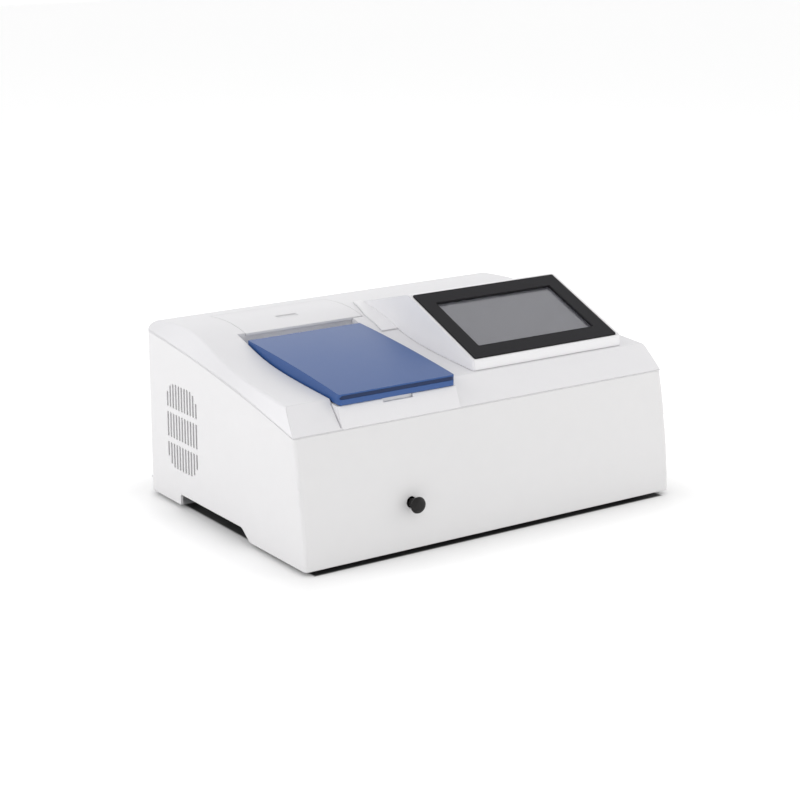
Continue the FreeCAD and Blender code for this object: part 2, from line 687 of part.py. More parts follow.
def compartment_tub():
    outer = mouth(TUB_WALL, PLATE_TOP, 200).common(below_bay(BAY_WALL))
    inner = mouth(0.0, TUB_FLOOR_Z, 200)
    under = mouth(0.0, PLATE_TOP - 1, TUB_FLOOR_Z - TUB_WALL)
    cuts = [inner, under, rod_x(MOUTH_LEFT_X - 5, MOUTH_RIGHT_X + 5, BEAM_Y, BEAM_Z, WINDOW_R),
            rod_y(MOUTH_FRONT_Y - 5, MOUTH_FRONT_Y + 5, LID_CENTRE_X, ROD_Z, ROD_R + 2.0)]
    for x in rail_places():
        cuts.append(rod_y(MOUTH_FRONT_Y - 5, MOUTH_REAR_Y + 5, x, RAIL_Z, RAIL_R))
    return outer.cut(cuts)


def rail_places():
    return [LID_CENTRE_X - RAIL_SPREAD, LID_CENTRE_X + RAIL_SPREAD]


def carriage_rails():
    y0, y1 = MOUTH_FRONT_Y - TUB_WALL, MOUTH_REAR_Y + TUB_WALL
    return [rod_y(y0, y1, x, RAIL_Z, RAIL_R) for x in rail_places()]


def beam_windows():
    return [rod_x(MOUTH_LEFT_X - TUB_WALL, MOUTH_LEFT_X, BEAM_Y, BEAM_Z, WINDOW_R),
            rod_x(MOUTH_RIGHT_X, MOUTH_RIGHT_X + TUB_WALL, BEAM_Y, BEAM_Z, WINDOW_R)]


def compartment_gasket():
    ring = mouth(3.5, 100, 200).cut(mouth(0.0, 90, 210))
    return ring.common(sloped_slab(MOUTH_FRONT_Y - 8, MOUTH_REAR_Y + 8, 0.0, 1.0, -HALF, HALF))


def rod_bushing():
    """Flanged plastic bush in the front wall of the tub, where the pull rod passes."""
    y = MOUTH_FRONT_Y - TUB_WALL
    sleeve = rod_y(y - 6, MOUTH_FRONT_Y + 3, LID_CENTRE_X, ROD_Z, ROD_R + 2.0)
    flange = rod_y(y - 6, y, LID_CENTRE_X, ROD_Z, ROD_R + 4.5)
    bore = rod_y(y - 8, MOUTH_FRONT_Y + 5, LID_CENTRE_X, ROD_Z, ROD_R + RUNNING_GAP)
    return join([sleeve, flange]).cut(bore)


def click_spring():
    """Leaf spring on the tub floor with a bump that clicks into the notches under the carriage."""
    y = BEAM_Y - CELL_PITCH / 2
    strip = block(LID_CENTRE_X - 4, LID_CENTRE_X + 4, y - 14, y + 14, TUB_FLOOR_Z, TUB_FLOOR_Z + 1.0)
    bump = rod_x(LID_CENTRE_X - 4, LID_CENTRE_X + 4, y, TUB_FLOOR_Z + 0.4, 1.6)
    bump = bump.common(block(LID_CENTRE_X - 5, LID_CENTRE_X + 5, y - 3, y + 3, TUB_FLOOR_Z, TUB_FLOOR_Z + 6))
    return join([strip, bump])


# Cell carriage with rod and knob

def cell_centres():
    return [BEAM_Y + i * CELL_PITCH for i in range(CELL_COUNT)]


def cell_carriage():
    y0, y1 = CARRIAGE_FRONT_Y, CARRIAGE_FRONT_Y + CARRIAGE_LENGTH
    half = CARRIAGE_WIDTH / 2
    x = LID_CENTRE_X
    base = along_y(round_rect(x - half, x + half, CARRIAGE_LOW_Z, CARRIAGE_DECK_Z, 2.0), y0, y1)
    wide = CELL_SIZE / 2 + HOLDER_WALL
    holder = along_z(round_rect(x - wide, x + wide, y0, y1, 2.5), CARRIAGE_DECK_Z - 1, HOLDER_TOP_Z)
    body = join([base, holder])
    cuts = []
    s = CELL_SIZE / 2
    for y in cell_centres():
        cuts.append(block(x - s, x + s, y - s, y + s, CELL_FLOOR_Z, HOLDER_TOP_Z + 1))
        cuts.append(block(x - wide - 1, x + wide + 1, y - 4, y + 4, BEAM_Z - 8, BEAM_Z + 8))
    for rail_x in rail_places():
        cuts.append(rod_y(y0 - 1, y1 + 1, rail_x, RAIL_Z, RAIL_R + RUNNING_GAP))
    cuts.append(rod_y(y0 - 1, y0 + 12, x, ROD_Z, ROD_R))
    cuts.append(block(x - 6, x + 6, y0 - 1, y1 + 1, CARRIAGE_LOW_Z - 1, CARRIAGE_LOW_Z + 0.6))
    return body.cut(cuts)


def cell_springs():
    """One bent leaf in a corner of each socket, to press the cell against the datum faces."""
    leaves = []
    s = CELL_SIZE / 2
    for y in cell_centres():
        x = LID_CENTRE_X - s
        z = CELL_FLOOR_Z + 2
        outline = [(x, z), (x + 0.4, z), ("arc", (x + 1.1, z + 10), (x + 0.4, z + 20)), (x, z + 20),
                   ("arc", (x + 0.7, z + 10), (x, z))]
        leaves.append(along_y(outline, y + 4.2, y + 5.8))
    return leaves


def pull_rod():
    return rod_y(front_y(ROD_Z) - 3, CARRIAGE_FRONT_Y + 12, LID_CENTRE_X, ROD_Z, ROD_R)


def pull_knob():
    neck = front_y(ROD_Z) - 1.0 - KNOB_NOSE_Y
    rim, slim = KNOB_R, KNOB_NECK_R
    profile = [(0.0, 0.0), (rim * 0.55, 0.5), (rim * 0.82, 1.5), (rim - 0.5, 2.7), (rim, 4.0)]
    profile += [(rim - 0.4, 5.2), (rim - 1.7, 6.4), (slim + 1.2, 7.8), (slim + 0.3, 9.0), (slim, 10.4)]
    profile += [(slim, neck), (0.0, neck)]
    knob = turned(profile, V(LID_CENTRE_X, KNOB_NOSE_Y, ROD_Z), V(0, 1, 0))
    return knob.cut(rod_y(front_y(ROD_Z) - 3, CASE_DEPTH, LID_CENTRE_X, ROD_Z, ROD_R))


# Lid

def lid_bottom_z(y):
    return bay_floor_z(y) + LID_LIFT


def lid_outline(wall):
    """Side view of the lid. The front edge has a dark groove over a lip that a finger can catch."""
    y0, y1 = LID_FRONT_Y, LID_REAR_Y
    crown = (LID_CROWN_Y, LID_CROWN_Z - wall)
    front, rear = LID_FRONT_Z, LID_REAR_Z
    if wall:
        inner = y0 + 3.8 + wall
        inside = ("curve", [crown, (y1 - wall, rear - wall)])
        low = lid_bottom_z(inner) - 5
        return [(inner, low), (inner, front - wall - 0.6), inside, (y1 - wall, lid_bottom_z(y1) - 5)]
    low = lid_bottom_z(y0)
    brow = ("arc", (y0 + 1.6, front - 0.3), (y0 + 3.0, front))
    heel = ("arc", (y1 - 1.1, rear - 1.1), (y1, rear - 4.0))
    groove = [(y0 + 0.8, front - 5.4), (y0 + 3.2, front - 4.6), (y0 + 1.4, front - 1.2)]
    over = ("curve", [crown, (y1 - 4.0, rear)])
    return [(y0 + 0.8, low), (y0, low + 1.0)] + groove + [brow, over, heel, (y1, lid_bottom_z(y1))]


def hinge_places():
    return [LID_CENTRE_X - HINGE_SPREAD, LID_CENTRE_X + HINGE_SPREAD]


def sample_lid():
    body = along_x(lid_outline(0.0), LID_LEFT_X, LID_RIGHT_X)
    plan = round_rect(LID_LEFT_X, LID_RIGHT_X, LID_FRONT_Y - 0.01, LID_REAR_Y + 0.01, LID_EDGE_R)
    body = body.common(along_z(plan, 100, 220))
    body = body.cut(along_x(lid_outline(LID_WALL), LID_LEFT_X + LID_WALL, LID_RIGHT_X - LID_WALL))
    parts = [body]
    half = KNUCKLE_LENGTH / 2
    for x in hinge_places():
        parts.append(rod_x(x - half, x + half, HINGE_Y, HINGE_Z, KNUCKLE_R))
        parts.append(block(x - half, x + half, LID_REAR_Y - LID_WALL, HINGE_Y, HINGE_Z - 2.5, HINGE_Z + 2.5))
    for x, y in liner_posts():
        post = block(x - 4, x + 4, y - 4, y + 4, liner_z(y) + 1.0, LID_REAR_Z + 5)
        parts.append(post.common(along_x(lid_outline(0.0), x - 5, x + 5)))
    body = join(parts)
    r = PIN_R + RUNNING_GAP
    bores = [rod_x(x - half - 1, x + half + 1, HINGE_Y, HINGE_Z, r) for x in hinge_places()]
    side = LID_WALL + 0.5
    room = sloped_slab(LID_FRONT_Y + 8, LID_REAR_Y - 6, LINER_LIFT - 20, LINER_LIFT + LINER_T,
                       LID_LEFT_X + side, LID_RIGHT_X - side)
    return body.cut(bores + [room])


def liner_z(y):
    return bay_floor_z(y) + LINER_LIFT


def liner_posts():
    return [(LID_CENTRE_X + sx * 60, y) for sx in (-1, 1) for y in (46.0, 196.0)]


def sloped_slab(y0, y1, low, high, x0, x1):
    """A slab parallel to the bay floor, between two heights above it."""
    return along_x([(y0, bay_floor_z(y0) + low), (y1, bay_floor_z(y1) + low), (y1, bay_floor_z(y1) + high),
                    (y0, bay_floor_z(y0) + high)], x0, x1)


def lid_liner():
    """Black plate under the lid with a rim that reaches into the mouth of the compartment."""
    y0, y1 = LID_FRONT_Y + 9, LID_REAR_Y - 7
    plate = sloped_slab(y0, y1, LINER_LIFT, LINER_LIFT + LINER_T, LID_LEFT_X + 4, LID_RIGHT_X - 4)
    rim = mouth(-4.0, 100, 200).cut(mouth(-6.0, 90, 210))
    layer = sloped_slab(MOUTH_FRONT_Y - 5, MOUTH_REAR_Y + 5, -3.0, LINER_LIFT + 1.0, -HALF, HALF)
    return join([plate, rim.common(layer)])


def hinge_brackets():
    brackets = []
    half = KNUCKLE_LENGTH / 2
    for x in hinge_places():
        ears = []
        y0, y1 = HINGE_Y - KNUCKLE_R, HINGE_Y + KNUCKLE_R
        for x0 in (x - half - 0.4 - EAR_T, x + half + 0.4):
            bow = ("arc", (HINGE_Y, HINGE_Z + KNUCKLE_R), (y0, HINGE_Z))
            ear = [(y0, bay_floor_z(y0)), (y1, bay_floor_z(y1)), (y1, HINGE_Z), bow]
            ears.append(along_x(ear, x0, x0 + EAR_T))
        foot = sloped_slab(y0, y1, 0.0, 1.5, x - half - 0.4 - EAR_T, x + half + 0.4 + EAR_T)
        body = join(ears + [foot])
        brackets.append(body.cut(rod_x(x - 20, x + 20, HINGE_Y, HINGE_Z, PIN_R)))
    return brackets


def hinge_pins():
    reach = KNUCKLE_LENGTH / 2 + 0.4 + EAR_T
    return [rod_x(x - reach, x + reach, HINGE_Y, HINGE_Z, PIN_R) for x in hinge_places()]


def lid_bumpers():
    """Soft pads on the bay floor under the front corners of the lid."""
    pads = []
    for sx in (-1, 1):
        x = LID_CENTRE_X + sx * (LID_WIDTH / 2 - 1.3)
        pad = sloped_slab(44, 52, 0.0, LID_LIFT - 0.2, x - 1.2, x + 1.2)
        pads.append(pad)
    return pads


# Service cover

def service_cover():
    front = RECESS_WALL_Y - SERVICE_OVERHANG
    plate = top_layer(-SERVICE_T, 0.0, front, SERVICE_REAR_Y).common(service_region(0.0, front))
    half, r = SLOT_LENGTH / 2, SLOT_HEIGHT / 2
    c = r / 3
    corners = [(half - c, -r), (half, c - r), (half, r - c), (half - c, r)]
    corners += [(-u, -v) for u, v in corners]
    slot = along_z([(SLOT_X + u, SLOT_Y + v) for u, v in corners], 150, 230)
    x0, x1, y0, y1 = SERVICE_LEFT_X, SERVICE_RIGHT_X, RECESS_WALL_Y, SERVICE_REAR_Y
    locating = block(x0 + 6.5, x1 - 6.5, y0 + 7.5, y1 - 6.5, 150, 230)
    locating = locating.cut(block(x0 + 8.5, x1 - 8.5, y0 + 9.5, y1 - 8.5, 140, 240))
    rim = top_layer(-SERVICE_T - SERVICE_LIP, 0.5 - SERVICE_T, front, y1).common(locating)
    return join([plate, rim]).cut(slot)


# Screen housing and display

def on_screen(shape):
    """Moves a shape from screen coordinates to the case: x, distance up the slope, height above the frame."""
    moved = shape.copy()
    tilt = FreeCAD.Rotation(V(1, 0, 0), SCREEN_TILT)
    moved.Placement = FreeCAD.Placement(V(0, BEZEL_FRONT_Y, BEZEL_FRONT_Z), tilt)
    return moved


def screen_plate(x_margin, v_margin, low, high, r):
    """A flat plate in the screen plane, larger than the frame by the margins (negative is smaller)."""
    x0, x1 = BEZEL_LEFT_X - x_margin, BEZEL_LEFT_X + BEZEL_WIDTH + x_margin
    return on_screen(along_z(round_rect(x0, x1, -v_margin, BEZEL_LENGTH + v_margin, r), low, high))


def opening_plate(margin, low, high, r):
    x0 = BEZEL_LEFT_X + (BEZEL_WIDTH - OPENING_WIDTH) / 2
    v0 = (BEZEL_LENGTH - OPENING_LENGTH) / 2
    x1, v1 = x0 + OPENING_WIDTH, v0 + OPENING_LENGTH
    return on_screen(along_z(round_rect(x0 - margin, x1 + margin, v0 - margin, v1 + margin, r), low, high))


def housing_wedge(inset):
    """Closed form of the wedge, moved in by inset; it reaches down through the top cover."""
    t = math.radians(SCREEN_TILT)
    down = BEZEL_PROUD + inset
    base_y = BEZEL_FRONT_Y + down * math.sin(t)
    base_z = BEZEL_FRONT_Z - down * math.cos(t)
    length = BEZEL_LENGTH + 3.0
    front = HOUSING_FRONT_Y + inset
    lip_z = base_z + (front + 1.0 - base_y) * math.tan(t)
    ridge = (base_y + length * math.cos(t), base_z + length * math.sin(t))
    tail_y = CREST_Y + 6.0
    outline = [(front - 0.6, 100.0), (front, lip_z - 2.0), (front + 1.2, lip_z), ridge,
               (ridge[0] + 5, ridge[1] - 0.6), (tail_y, top_z(tail_y) - inset), (tail_y, 100.0)]
    plan = round_rect(HOUSING_LEFT_X + inset, HOUSING_RIGHT_X - inset, front - 2, tail_y + 30, HOUSING_R)
    return along_x(outline, HOUSING_LEFT_X + inset, HOUSING_RIGHT_X - inset).common(along_z(plan, 90, 300))


def screen_housing():
    above = top_layer(HOUSING_GAP, 120.0, CHIN_TOP_Y, CASE_DEPTH)
    body = housing_wedge(0.0).cut(housing_wedge(HOUSING_WALL)).common(above)
    body = join([body, housing_skirt()])
    seat = screen_plate(SEAT_GAP, SEAT_GAP, -BEZEL_T, 10, BEZEL_R + SEAT_GAP)
    window = opening_plate(GLASS_MARGIN + SEAT_GAP, -12, 10, 2.0)
    return body.cut([seat, window])


def housing_skirt():
    """Low foot of the housing on the rise of the top cover, left of the screen."""
    rear = CREST_Y + 6.0
    x0, x1 = SKIRT_LEFT_X, HOUSING_LEFT_X + HOUSING_WALL / 2
    plan = [(x0 - 2.0, SKIRT_FRONT_Y), (x1, SKIRT_FRONT_Y), (x1, rear), (x0 + 10.0, rear), (x0, rear - 38.0),
            (x0, SKIRT_FRONT_Y + 14.0)]
    layer = top_layer(HOUSING_GAP, HOUSING_GAP + SKIRT_T, SKIRT_FRONT_Y - 1, rear + 1)
    return along_z(plan, 100, 300).common(layer)


def screen_bezel():
    frame = screen_plate(0.0, 0.0, -BEZEL_T, 0.0, BEZEL_R)
    return frame.cut(opening_plate(0.0, -BEZEL_T - 1, 1, 1.0))


def screen_glass():
    return opening_plate(GLASS_MARGIN, -BEZEL_T - GLASS_T, -BEZEL_T, 1.5)


def display_module():
    return opening_plate(GLASS_MARGIN - 0.5, -BEZEL_T - GLASS_T - 6.0, -BEZEL_T - GLASS_T, 1.0)


def display_board():
    low = -BEZEL_T - GLASS_T - 6.0
    board = opening_plate(-8.0, low - 5.6, low - 4.0, 1.0)
    posts = []
    x0 = BEZEL_LEFT_X + BEZEL_WIDTH / 2
    for sx in (-1, 1):
        for v in (-1, 1):
            x, y = x0 + sx * 58, BEZEL_LENGTH / 2 + v * 26
            posts.append(on_screen(block(x - 2.5, x + 2.5, y - 2.5, y + 2.5, low - 4.5, low)))
    return join([board] + posts)


# Optics and electronics inside the case

def monochromator_housing():
    x0, w = MONO_LEFT_X, MONO_WALL
    outer = along_z(mono_plan(0.0, 6.0), PLATE_TOP, MONO_TOP_Z)
    inner = along_z(mono_plan(w, 3.0), PLATE_TOP + w, MONO_TOP_Z + 1)
    beam = rod_x(x0 - 1, x0 + w + 1, BEAM_Y, BEAM_Z, BEAM_R)
    entrance = rod_x(x0 - 1, x0 + w + 1, ENTRANCE_Y, BEAM_Z, BEAM_R)
    return outer.cut([inner, beam, entrance])


def mono_plan(inset, r):
    return round_rect(MONO_LEFT_X + inset, MONO_RIGHT_X - inset, MONO_FRONT_Y + inset, MONO_REAR_Y - inset, r)


def monochromator_cover():
    plate = along_z(mono_plan(0.0, 6.0), MONO_TOP_Z, MONO_TOP_Z + 3)
    lip = along_z(mono_plan(MONO_WALL + 0.5, 3.0), MONO_TOP_Z - 3, MONO_TOP_Z + 1)
    core = along_z(mono_plan(MONO_WALL + 2.5, 2.0), MONO_TOP_Z - 4, MONO_TOP_Z)
    return join([plate, lip.cut(core)])


def slit_plates():
    x = MONO_LEFT_X + MONO_WALL
    plates = []
    for y in (BEAM_Y, ENTRANCE_Y):
        plate = block(x, x + 1.0, y - 9, y + 9, BEAM_Z - 12, BEAM_Z + 12)
        plates.append(plate.cut(block(x - 1, x + 2, y - 0.3, y + 0.3, BEAM_Z - 5, BEAM_Z + 5)))
    return plates


def concave_mirrors():
    mirrors = []
    for y in (COLLIMATOR_Y, FOCUS_Y):
        disc = rod_x(MIRROR_X, MIRROR_X + 8, y, BEAM_Z, MIRROR_R)
        dish = Part.makeSphere(160.0, V(MIRROR_X - 158.6, y, BEAM_Z))
        mirrors.append(disc.cut(dish))
    return mirrors


def mirror_mounts():
    mounts = []
    floor = PLATE_TOP + MONO_WALL
    half = MIRROR_R + 0.5
    for y in (COLLIMATOR_Y, FOCUS_Y):
        back = block(MIRROR_X + 8, MIRROR_X + 13, y - half, y + half, floor, BEAM_Z + half)
        foot = block(MIRROR_X - 8, MIRROR_X + 13, y - half, y + half, floor, floor + 5)
        mounts.append(join([back, foot]))
    return mounts


def grating_table():
    """Turntable on its pivot, with the arm and roller that the drive pushes."""
    floor = PLATE_TOP + MONO_WALL
    pivot = rod_z(floor, ARM_Z, GRATING_X, GRATING_Y, 4.0)
    table = rod_z(ARM_Z - 3, ARM_Z + 3, GRATING_X, GRATING_Y, TABLE_R)
    arm = block(GRATING_X - 4, GRATING_X + 4, GRATING_Y - ARM_LENGTH, GRATING_Y, ARM_Z - 3, ARM_Z + 3)
    roller = rod_z(ARM_Z - 3, ARM_Z + 14, GRATING_X, GRATING_Y - ARM_LENGTH, ROLLER_R)
    clip = block(GRATING_X - 17, GRATING_X + 17, GRATING_Y + 4.0, GRATING_Y + 7.0, ARM_Z + 3, BEAM_Z + 16)
    return join([pivot, table, arm, roller, clip])


def diffraction_grating():
    return block(GRATING_X - 15, GRATING_X + 15, GRATING_Y - 4.0, GRATING_Y + 4.0, BEAM_Z - 15, BEAM_Z + 15)


def drive_place():
    """Face of the plunger where it meets the roller, clear above the arm."""
    return GRATING_X + ROLLER_R + 0.3, GRATING_Y - ARM_LENGTH, ARM_Z + 9


def drive_motor():
    x, y, z = drive_place()
    can = rod_x(x + 22, x + 46, y, z, 11.0)
    nose = rod_x(x + 18, x + 22, y, z, 6.0)
    foot = block(x + 24, x + 44, y - 9, y + 9, PLATE_TOP + MONO_WALL, z)
    return join([can, nose, foot]).cut(rod_x(x + 10, x + 60, y, z, 2.5 + RUNNING_GAP))


def drive_plunger():
    x, y, z = drive_place()
    return join([rod_x(x, x + 44, y, z, 2.5), rod_x(x, x + 2, y, z, 5.0)])


def filter_places():
    """Middles of the holes in the wheel. The first stays open and stands in the beam."""
    r = FILTER_CIRCLE_R
    turns = [2 * math.pi * i / FILTER_COUNT - math.pi / 2 for i in range(FILTER_COUNT)]
    return [(ENTRANCE_Y + r * math.cos(a), WHEEL_Z + r * math.sin(a)) for a in turns]


def filter_wheel():
    disc = rod_x(WHEEL_X - WHEEL_T, WHEEL_X, ENTRANCE_Y, WHEEL_Z, WHEEL_R)
    hub = rod_x(WHEEL_X - WHEEL_T - 3, WHEEL_X + 2, ENTRANCE_Y, WHEEL_Z, 5.0)
    cuts = [rod_x(WHEEL_X - 10, WHEEL_X + 3, fy, fz, FILTER_R) for fy, fz in filter_places()]
    cuts.append(rod_x(WHEEL_X - 20, WHEEL_X + 3, ENTRANCE_Y, WHEEL_Z, SHAFT_R))
    return join([disc, hub]).cut(cuts)


def optical_filters():
    return [rod_x(WHEEL_X - WHEEL_T, WHEEL_X, y, z, FILTER_R) for y, z in filter_places()[1:]]


def filter_motor():
    """Small motor above the beam, on a post that stands beside the beam."""
    x = WHEEL_X - WHEEL_T - 3.5
    can = rod_x(x - 18, x, ENTRANCE_Y, WHEEL_Z, 8.0)
    post = block(x - 16, x - 4, ENTRANCE_Y + 6, ENTRANCE_Y + 12, PLATE_TOP, WHEEL_Z)
    return join([can, post]).cut(rod_x(x - 12, x + 1, ENTRANCE_Y, WHEEL_Z, SHAFT_R + RUNNING_GAP))


def filter_shaft():
    return rod_x(WHEEL_X - WHEEL_T - 14.5, WHEEL_X + 2, ENTRANCE_Y, WHEEL_Z, SHAFT_R)


def lens_holder():
    post = block(LENS_X - 4, LENS_X + 4, ENTRANCE_Y - 3, ENTRANCE_Y + 15, PLATE_TOP, BEAM_Z)
    ring = rod_x(LENS_X - 4, LENS_X + 4, ENTRANCE_Y + 4, BEAM_Z, 11.0)
    trim = block(LENS_X - 6, LENS_X + 6, ENTRANCE_Y - 9, ENTRANCE_Y + 30, PLATE_TOP, BEAM_Z + 20)
    return join([post, ring.common(trim)]).cut(rod_x(LENS_X - 5, LENS_X + 5, ENTRANCE_Y, BEAM_Z, 6.0))


def condenser_lens():
    return rod_x(LENS_X - 3, LENS_X + 3, ENTRANCE_Y, BEAM_Z, 6.0)


def lamp_bracket():
    x = LAMP_X - 26
    upright = block(x, x + 3, ENTRANCE_Y - 17, ENTRANCE_Y + 17, PLATE_TOP, BEAM_Z + 22)
    foot = block(x, x + 26, ENTRANCE_Y - 17, ENTRANCE_Y + 17, PLATE_TOP, PLATE_TOP + 3)
    return join([upright, foot])


def lamp_socket():
    x = LAMP_X - 23
    return along_x(round_rect(ENTRANCE_Y - 9, ENTRANCE_Y + 9, BEAM_Z - 9, BEAM_Z + 9, 2.0), x, x + 12)


def tungsten_lamp():
    x = LAMP_X - 11
    profile = [(0.0, 0.0), (4.6, 0.0), (6.0, 9.0), (6.0, 24.0), (0.0, 31.0)]
    return turned(profile, V(x, ENTRANCE_Y, BEAM_Z), V(1, 0, 0))


def detector_housing():
    x = MOUTH_LEFT_X - TUB_WALL
    body = block(x - 24, x, BEAM_Y - 15, BEAM_Y + 15, PLATE_TOP, BEAM_Z + 15)
    wide = rod_x(x - 20, x + 1, BEAM_Y, BEAM_Z, WINDOW_R)
    return body.cut([wide, rod_x(x - 26, x - 19, BEAM_Y, BEAM_Z, 5.0)])


def photodiode():
    x = MOUTH_LEFT_X - TUB_WALL
    return join([rod_x(x - 20, x - 17, BEAM_Y, BEAM_Z, 6.5), rod_x(x - 24, x - 20, BEAM_Y, BEAM_Z, 4.5)])


def detector_board():
    x = MOUTH_LEFT_X - TUB_WALL - 24
    return block(x - BOARD_T, x, BEAM_Y - 20, BEAM_Y + 20, BEAM_Z - 22, BEAM_Z + 22)


def board_with_parts(x0, x1, y0, y1, z, stand, chips):
    """A circuit board on four posts. Each chip is its place from the corner, its two sides and its height."""
    top = z + BOARD_T
    board = block(x0, x1, y0, y1, z, top)
    corners = [(x, y) for x in (x0 + 6, x1 - 6) for y in (y0 + 6, y1 - 6)]
    posts = [block(x - 3, x + 3, y - 3, y + 3, z - stand, z) for x, y in corners]
    parts = [block(x0 + u, x0 + u + w, y0 + v, y0 + v + d, z + 1.0, top + h) for u, v, w, d, h in chips]
    return join([board] + posts + parts)


def main_board():
    chips = [(50, 46, 24, 24, 2.5), (90, 36, 30, 12, 9.0), (20, 16, 14, 40, 4.0), (110, 66, 30, 20, 3.0)]
    return board_with_parts(MONO_LEFT_X + 48, MONO_RIGHT_X - 16, MONO_FRONT_Y + 16, MONO_REAR_Y - 48,
                            MONO_TOP_Z + 3 + BOARD_STAND, BOARD_STAND, chips)


def power_supply_board():
    chips = [(18, 4, 32, 28, 26.0), (60, 7, 18, 25, 20.0), (88, 6, 18, 26, 16.0)]
    return board_with_parts(INLET_X - 68, INLET_X + 48, PANEL_Y - 57, PANEL_Y - 19, PLATE_TOP + BOARD_STAND,
                            BOARD_STAND, chips)


# Rear fittings

def power_inlet():
    """Three-pole mains inlet with a place for the fuse drawer below it."""
    y = PANEL_Y
    low, high = SOCKET_ROW_Z - 19, SOCKET_ROW_Z + 13
    flange = along_y(round_rect(INLET_X - 17, INLET_X + 17, low - 2, high + 2, 2.0), y, y + 2.2)
    body = along_y(round_rect(INLET_X - 13.7, INLET_X + 13.7, low + 0.3, high - 0.3, 2.0), y - 24, y + 0.5)
    shape = [(-12, -8), (12, -8), (12, 4), (8, 8.5), (-8, 8.5), (-12, 4)]
    socket = along_y([(INLET_X + px, SOCKET_ROW_Z + pz) for px, pz in shape], y - 17, y + 3)
    drawer = block(INLET_X - 11, INLET_X + 11, y - 21, y + 3, low + 1.5, low + 8.5)
    pins = []
    for px, pz in ((-7, -2), (0, 3), (7, -2)):
        x, z = INLET_X + px, SOCKET_ROW_Z + pz
        pins.append(block(x - 1, x + 1, y - 18, y - 2, z - 2.5, z + 2.5))
    return join([flange, body]).cut([socket, drawer]).fuse(pins)


def fuse_drawer():
    y = PANEL_Y
    low = SOCKET_ROW_Z - 19
    body = block(INLET_X - 10.7, INLET_X + 10.7, y - 20, y + 2.4, low + 1.8, low + 8.2)
    tray = block(INLET_X - 9, INLET_X + 9, y - 17, y - 2, low + 4.0, low + 9)
    catch = block(INLET_X - 4, INLET_X + 4, y + 1.2, y + 3, low + 2.6, low + 4.4)
    return body.cut([tray, catch])


def power_switch():
    y = PANEL_Y
    z = SOCKET_ROW_Z
    flange = along_y(round_rect(SWITCH_X - 16, SWITCH_X + 16, z - 9, z + 9, 1.5), y, y + 1.2)
    body = block(SWITCH_X - 13.7, SWITCH_X + 13.7, y - 18, y + 0.5, z - 6.7, z + 6.7)
    hollow = block(SWITCH_X - 12, SWITCH_X + 12, y - 12, y + 3, z - 5.5, z + 5.5)
    axle = rod_z(z - 6, z + 6, SWITCH_X, y - 3, 1.0)
    return join([flange, body]).cut(hollow).fuse(axle)


def power_rocker():
    """Rocker pivoted on the switch body's axle, drawn with its right end pressed in."""
    y = PANEL_Y
    z = SOCKET_ROW_Z
    x = SWITCH_X
    face = [(x - 11, y - 3.5), (x - 11, y + 0.3), ("arc", (x, y - 0.4), (x + 11, y + 0.3)), (x + 11, y - 3.5),
            (x + 3, y - 6), (x - 3, y - 6)]
    body = along_z(face, z - 5.2, z + 5.2)
    body = body.cut(rod_z(z - 7, z + 7, SWITCH_X, y - 3, 1.0 + RUNNING_GAP))
    body.rotate(V(SWITCH_X, y - 3, z), V(0, 0, 1), -6.0)
    return body


def data_sockets():
    shells = []
    for x, w, h in usb_sizes(0.0):
        z = SOCKET_ROW_Z
        y0, y1 = PANEL_Y - 14, PANEL_Y + 0.4
        outer = block(x - w / 2, x + w / 2, y0, y1, z - h / 2, z + h / 2)
        hollow = block(x - w / 2 + 0.5, x + w / 2 - 0.5, y0 + 2, y1 + 1, z - h / 2 + 0.5, z + h / 2 - 0.5)
        tongue_h = 1.8 if h < 8 else 3.4
        tongue = block(x - w / 2 + 1.6, x + w / 2 - 1.6, y0 + 1, y1 - 1.5, z - tongue_h / 2, z + tongue_h / 2)
        shells.append(join([outer.cut(hollow), tongue]))
    return shells


def interface_board():
    """Upright board behind the data sockets, on four posts from the rear panel."""
    y1 = PANEL_Y - 14
    x0, x1 = USB_X - 14, USB_X + 40
    z0, z1 = SOCKET_ROW_Z - 16, SOCKET_ROW_Z + 16
    board = block(x0, x1, y1 - BOARD_T, y1, z0, z1)
    rear = PANEL_Y - PANEL_T
    posts = [block(x - 2, x + 2, y1, rear, z - 2, z + 2) for x in (x0 + 4, x1 - 4) for z in (z0 + 4, z1 - 4)]
    return join([board] + posts)


def fan_frame():
    y1 = PANEL_Y - PANEL_T
    y0 = y1 - FAN_DEPTH
    h = FAN_SIZE / 2
    body = along_y(round_rect(FAN_X - h, FAN_X + h, FAN_Z - h, FAN_Z + h, 4.0), y0, y1)
    body = body.cut(rod_y(y0 - 1, y1 + 1, FAN_X, FAN_Z, h - 2))
    spokes = [block(FAN_X - 1.2, FAN_X + 1.2, y0, y0 + 2.2, FAN_Z - h + 1, FAN_Z + h - 1),
              block(FAN_X - h + 1, FAN_X + h - 1, y0, y0 + 2.2, FAN_Z - 1.2, FAN_Z + 1.2)]
    hub = rod_y(y0, y0 + 2.2, FAN_X, FAN_Z, 13.0)
    body = join([body, hub] + spokes)
    return body.cut(rod_y(y0 - 1, y1, FAN_X, FAN_Z, 1.5 + RUNNING_GAP))


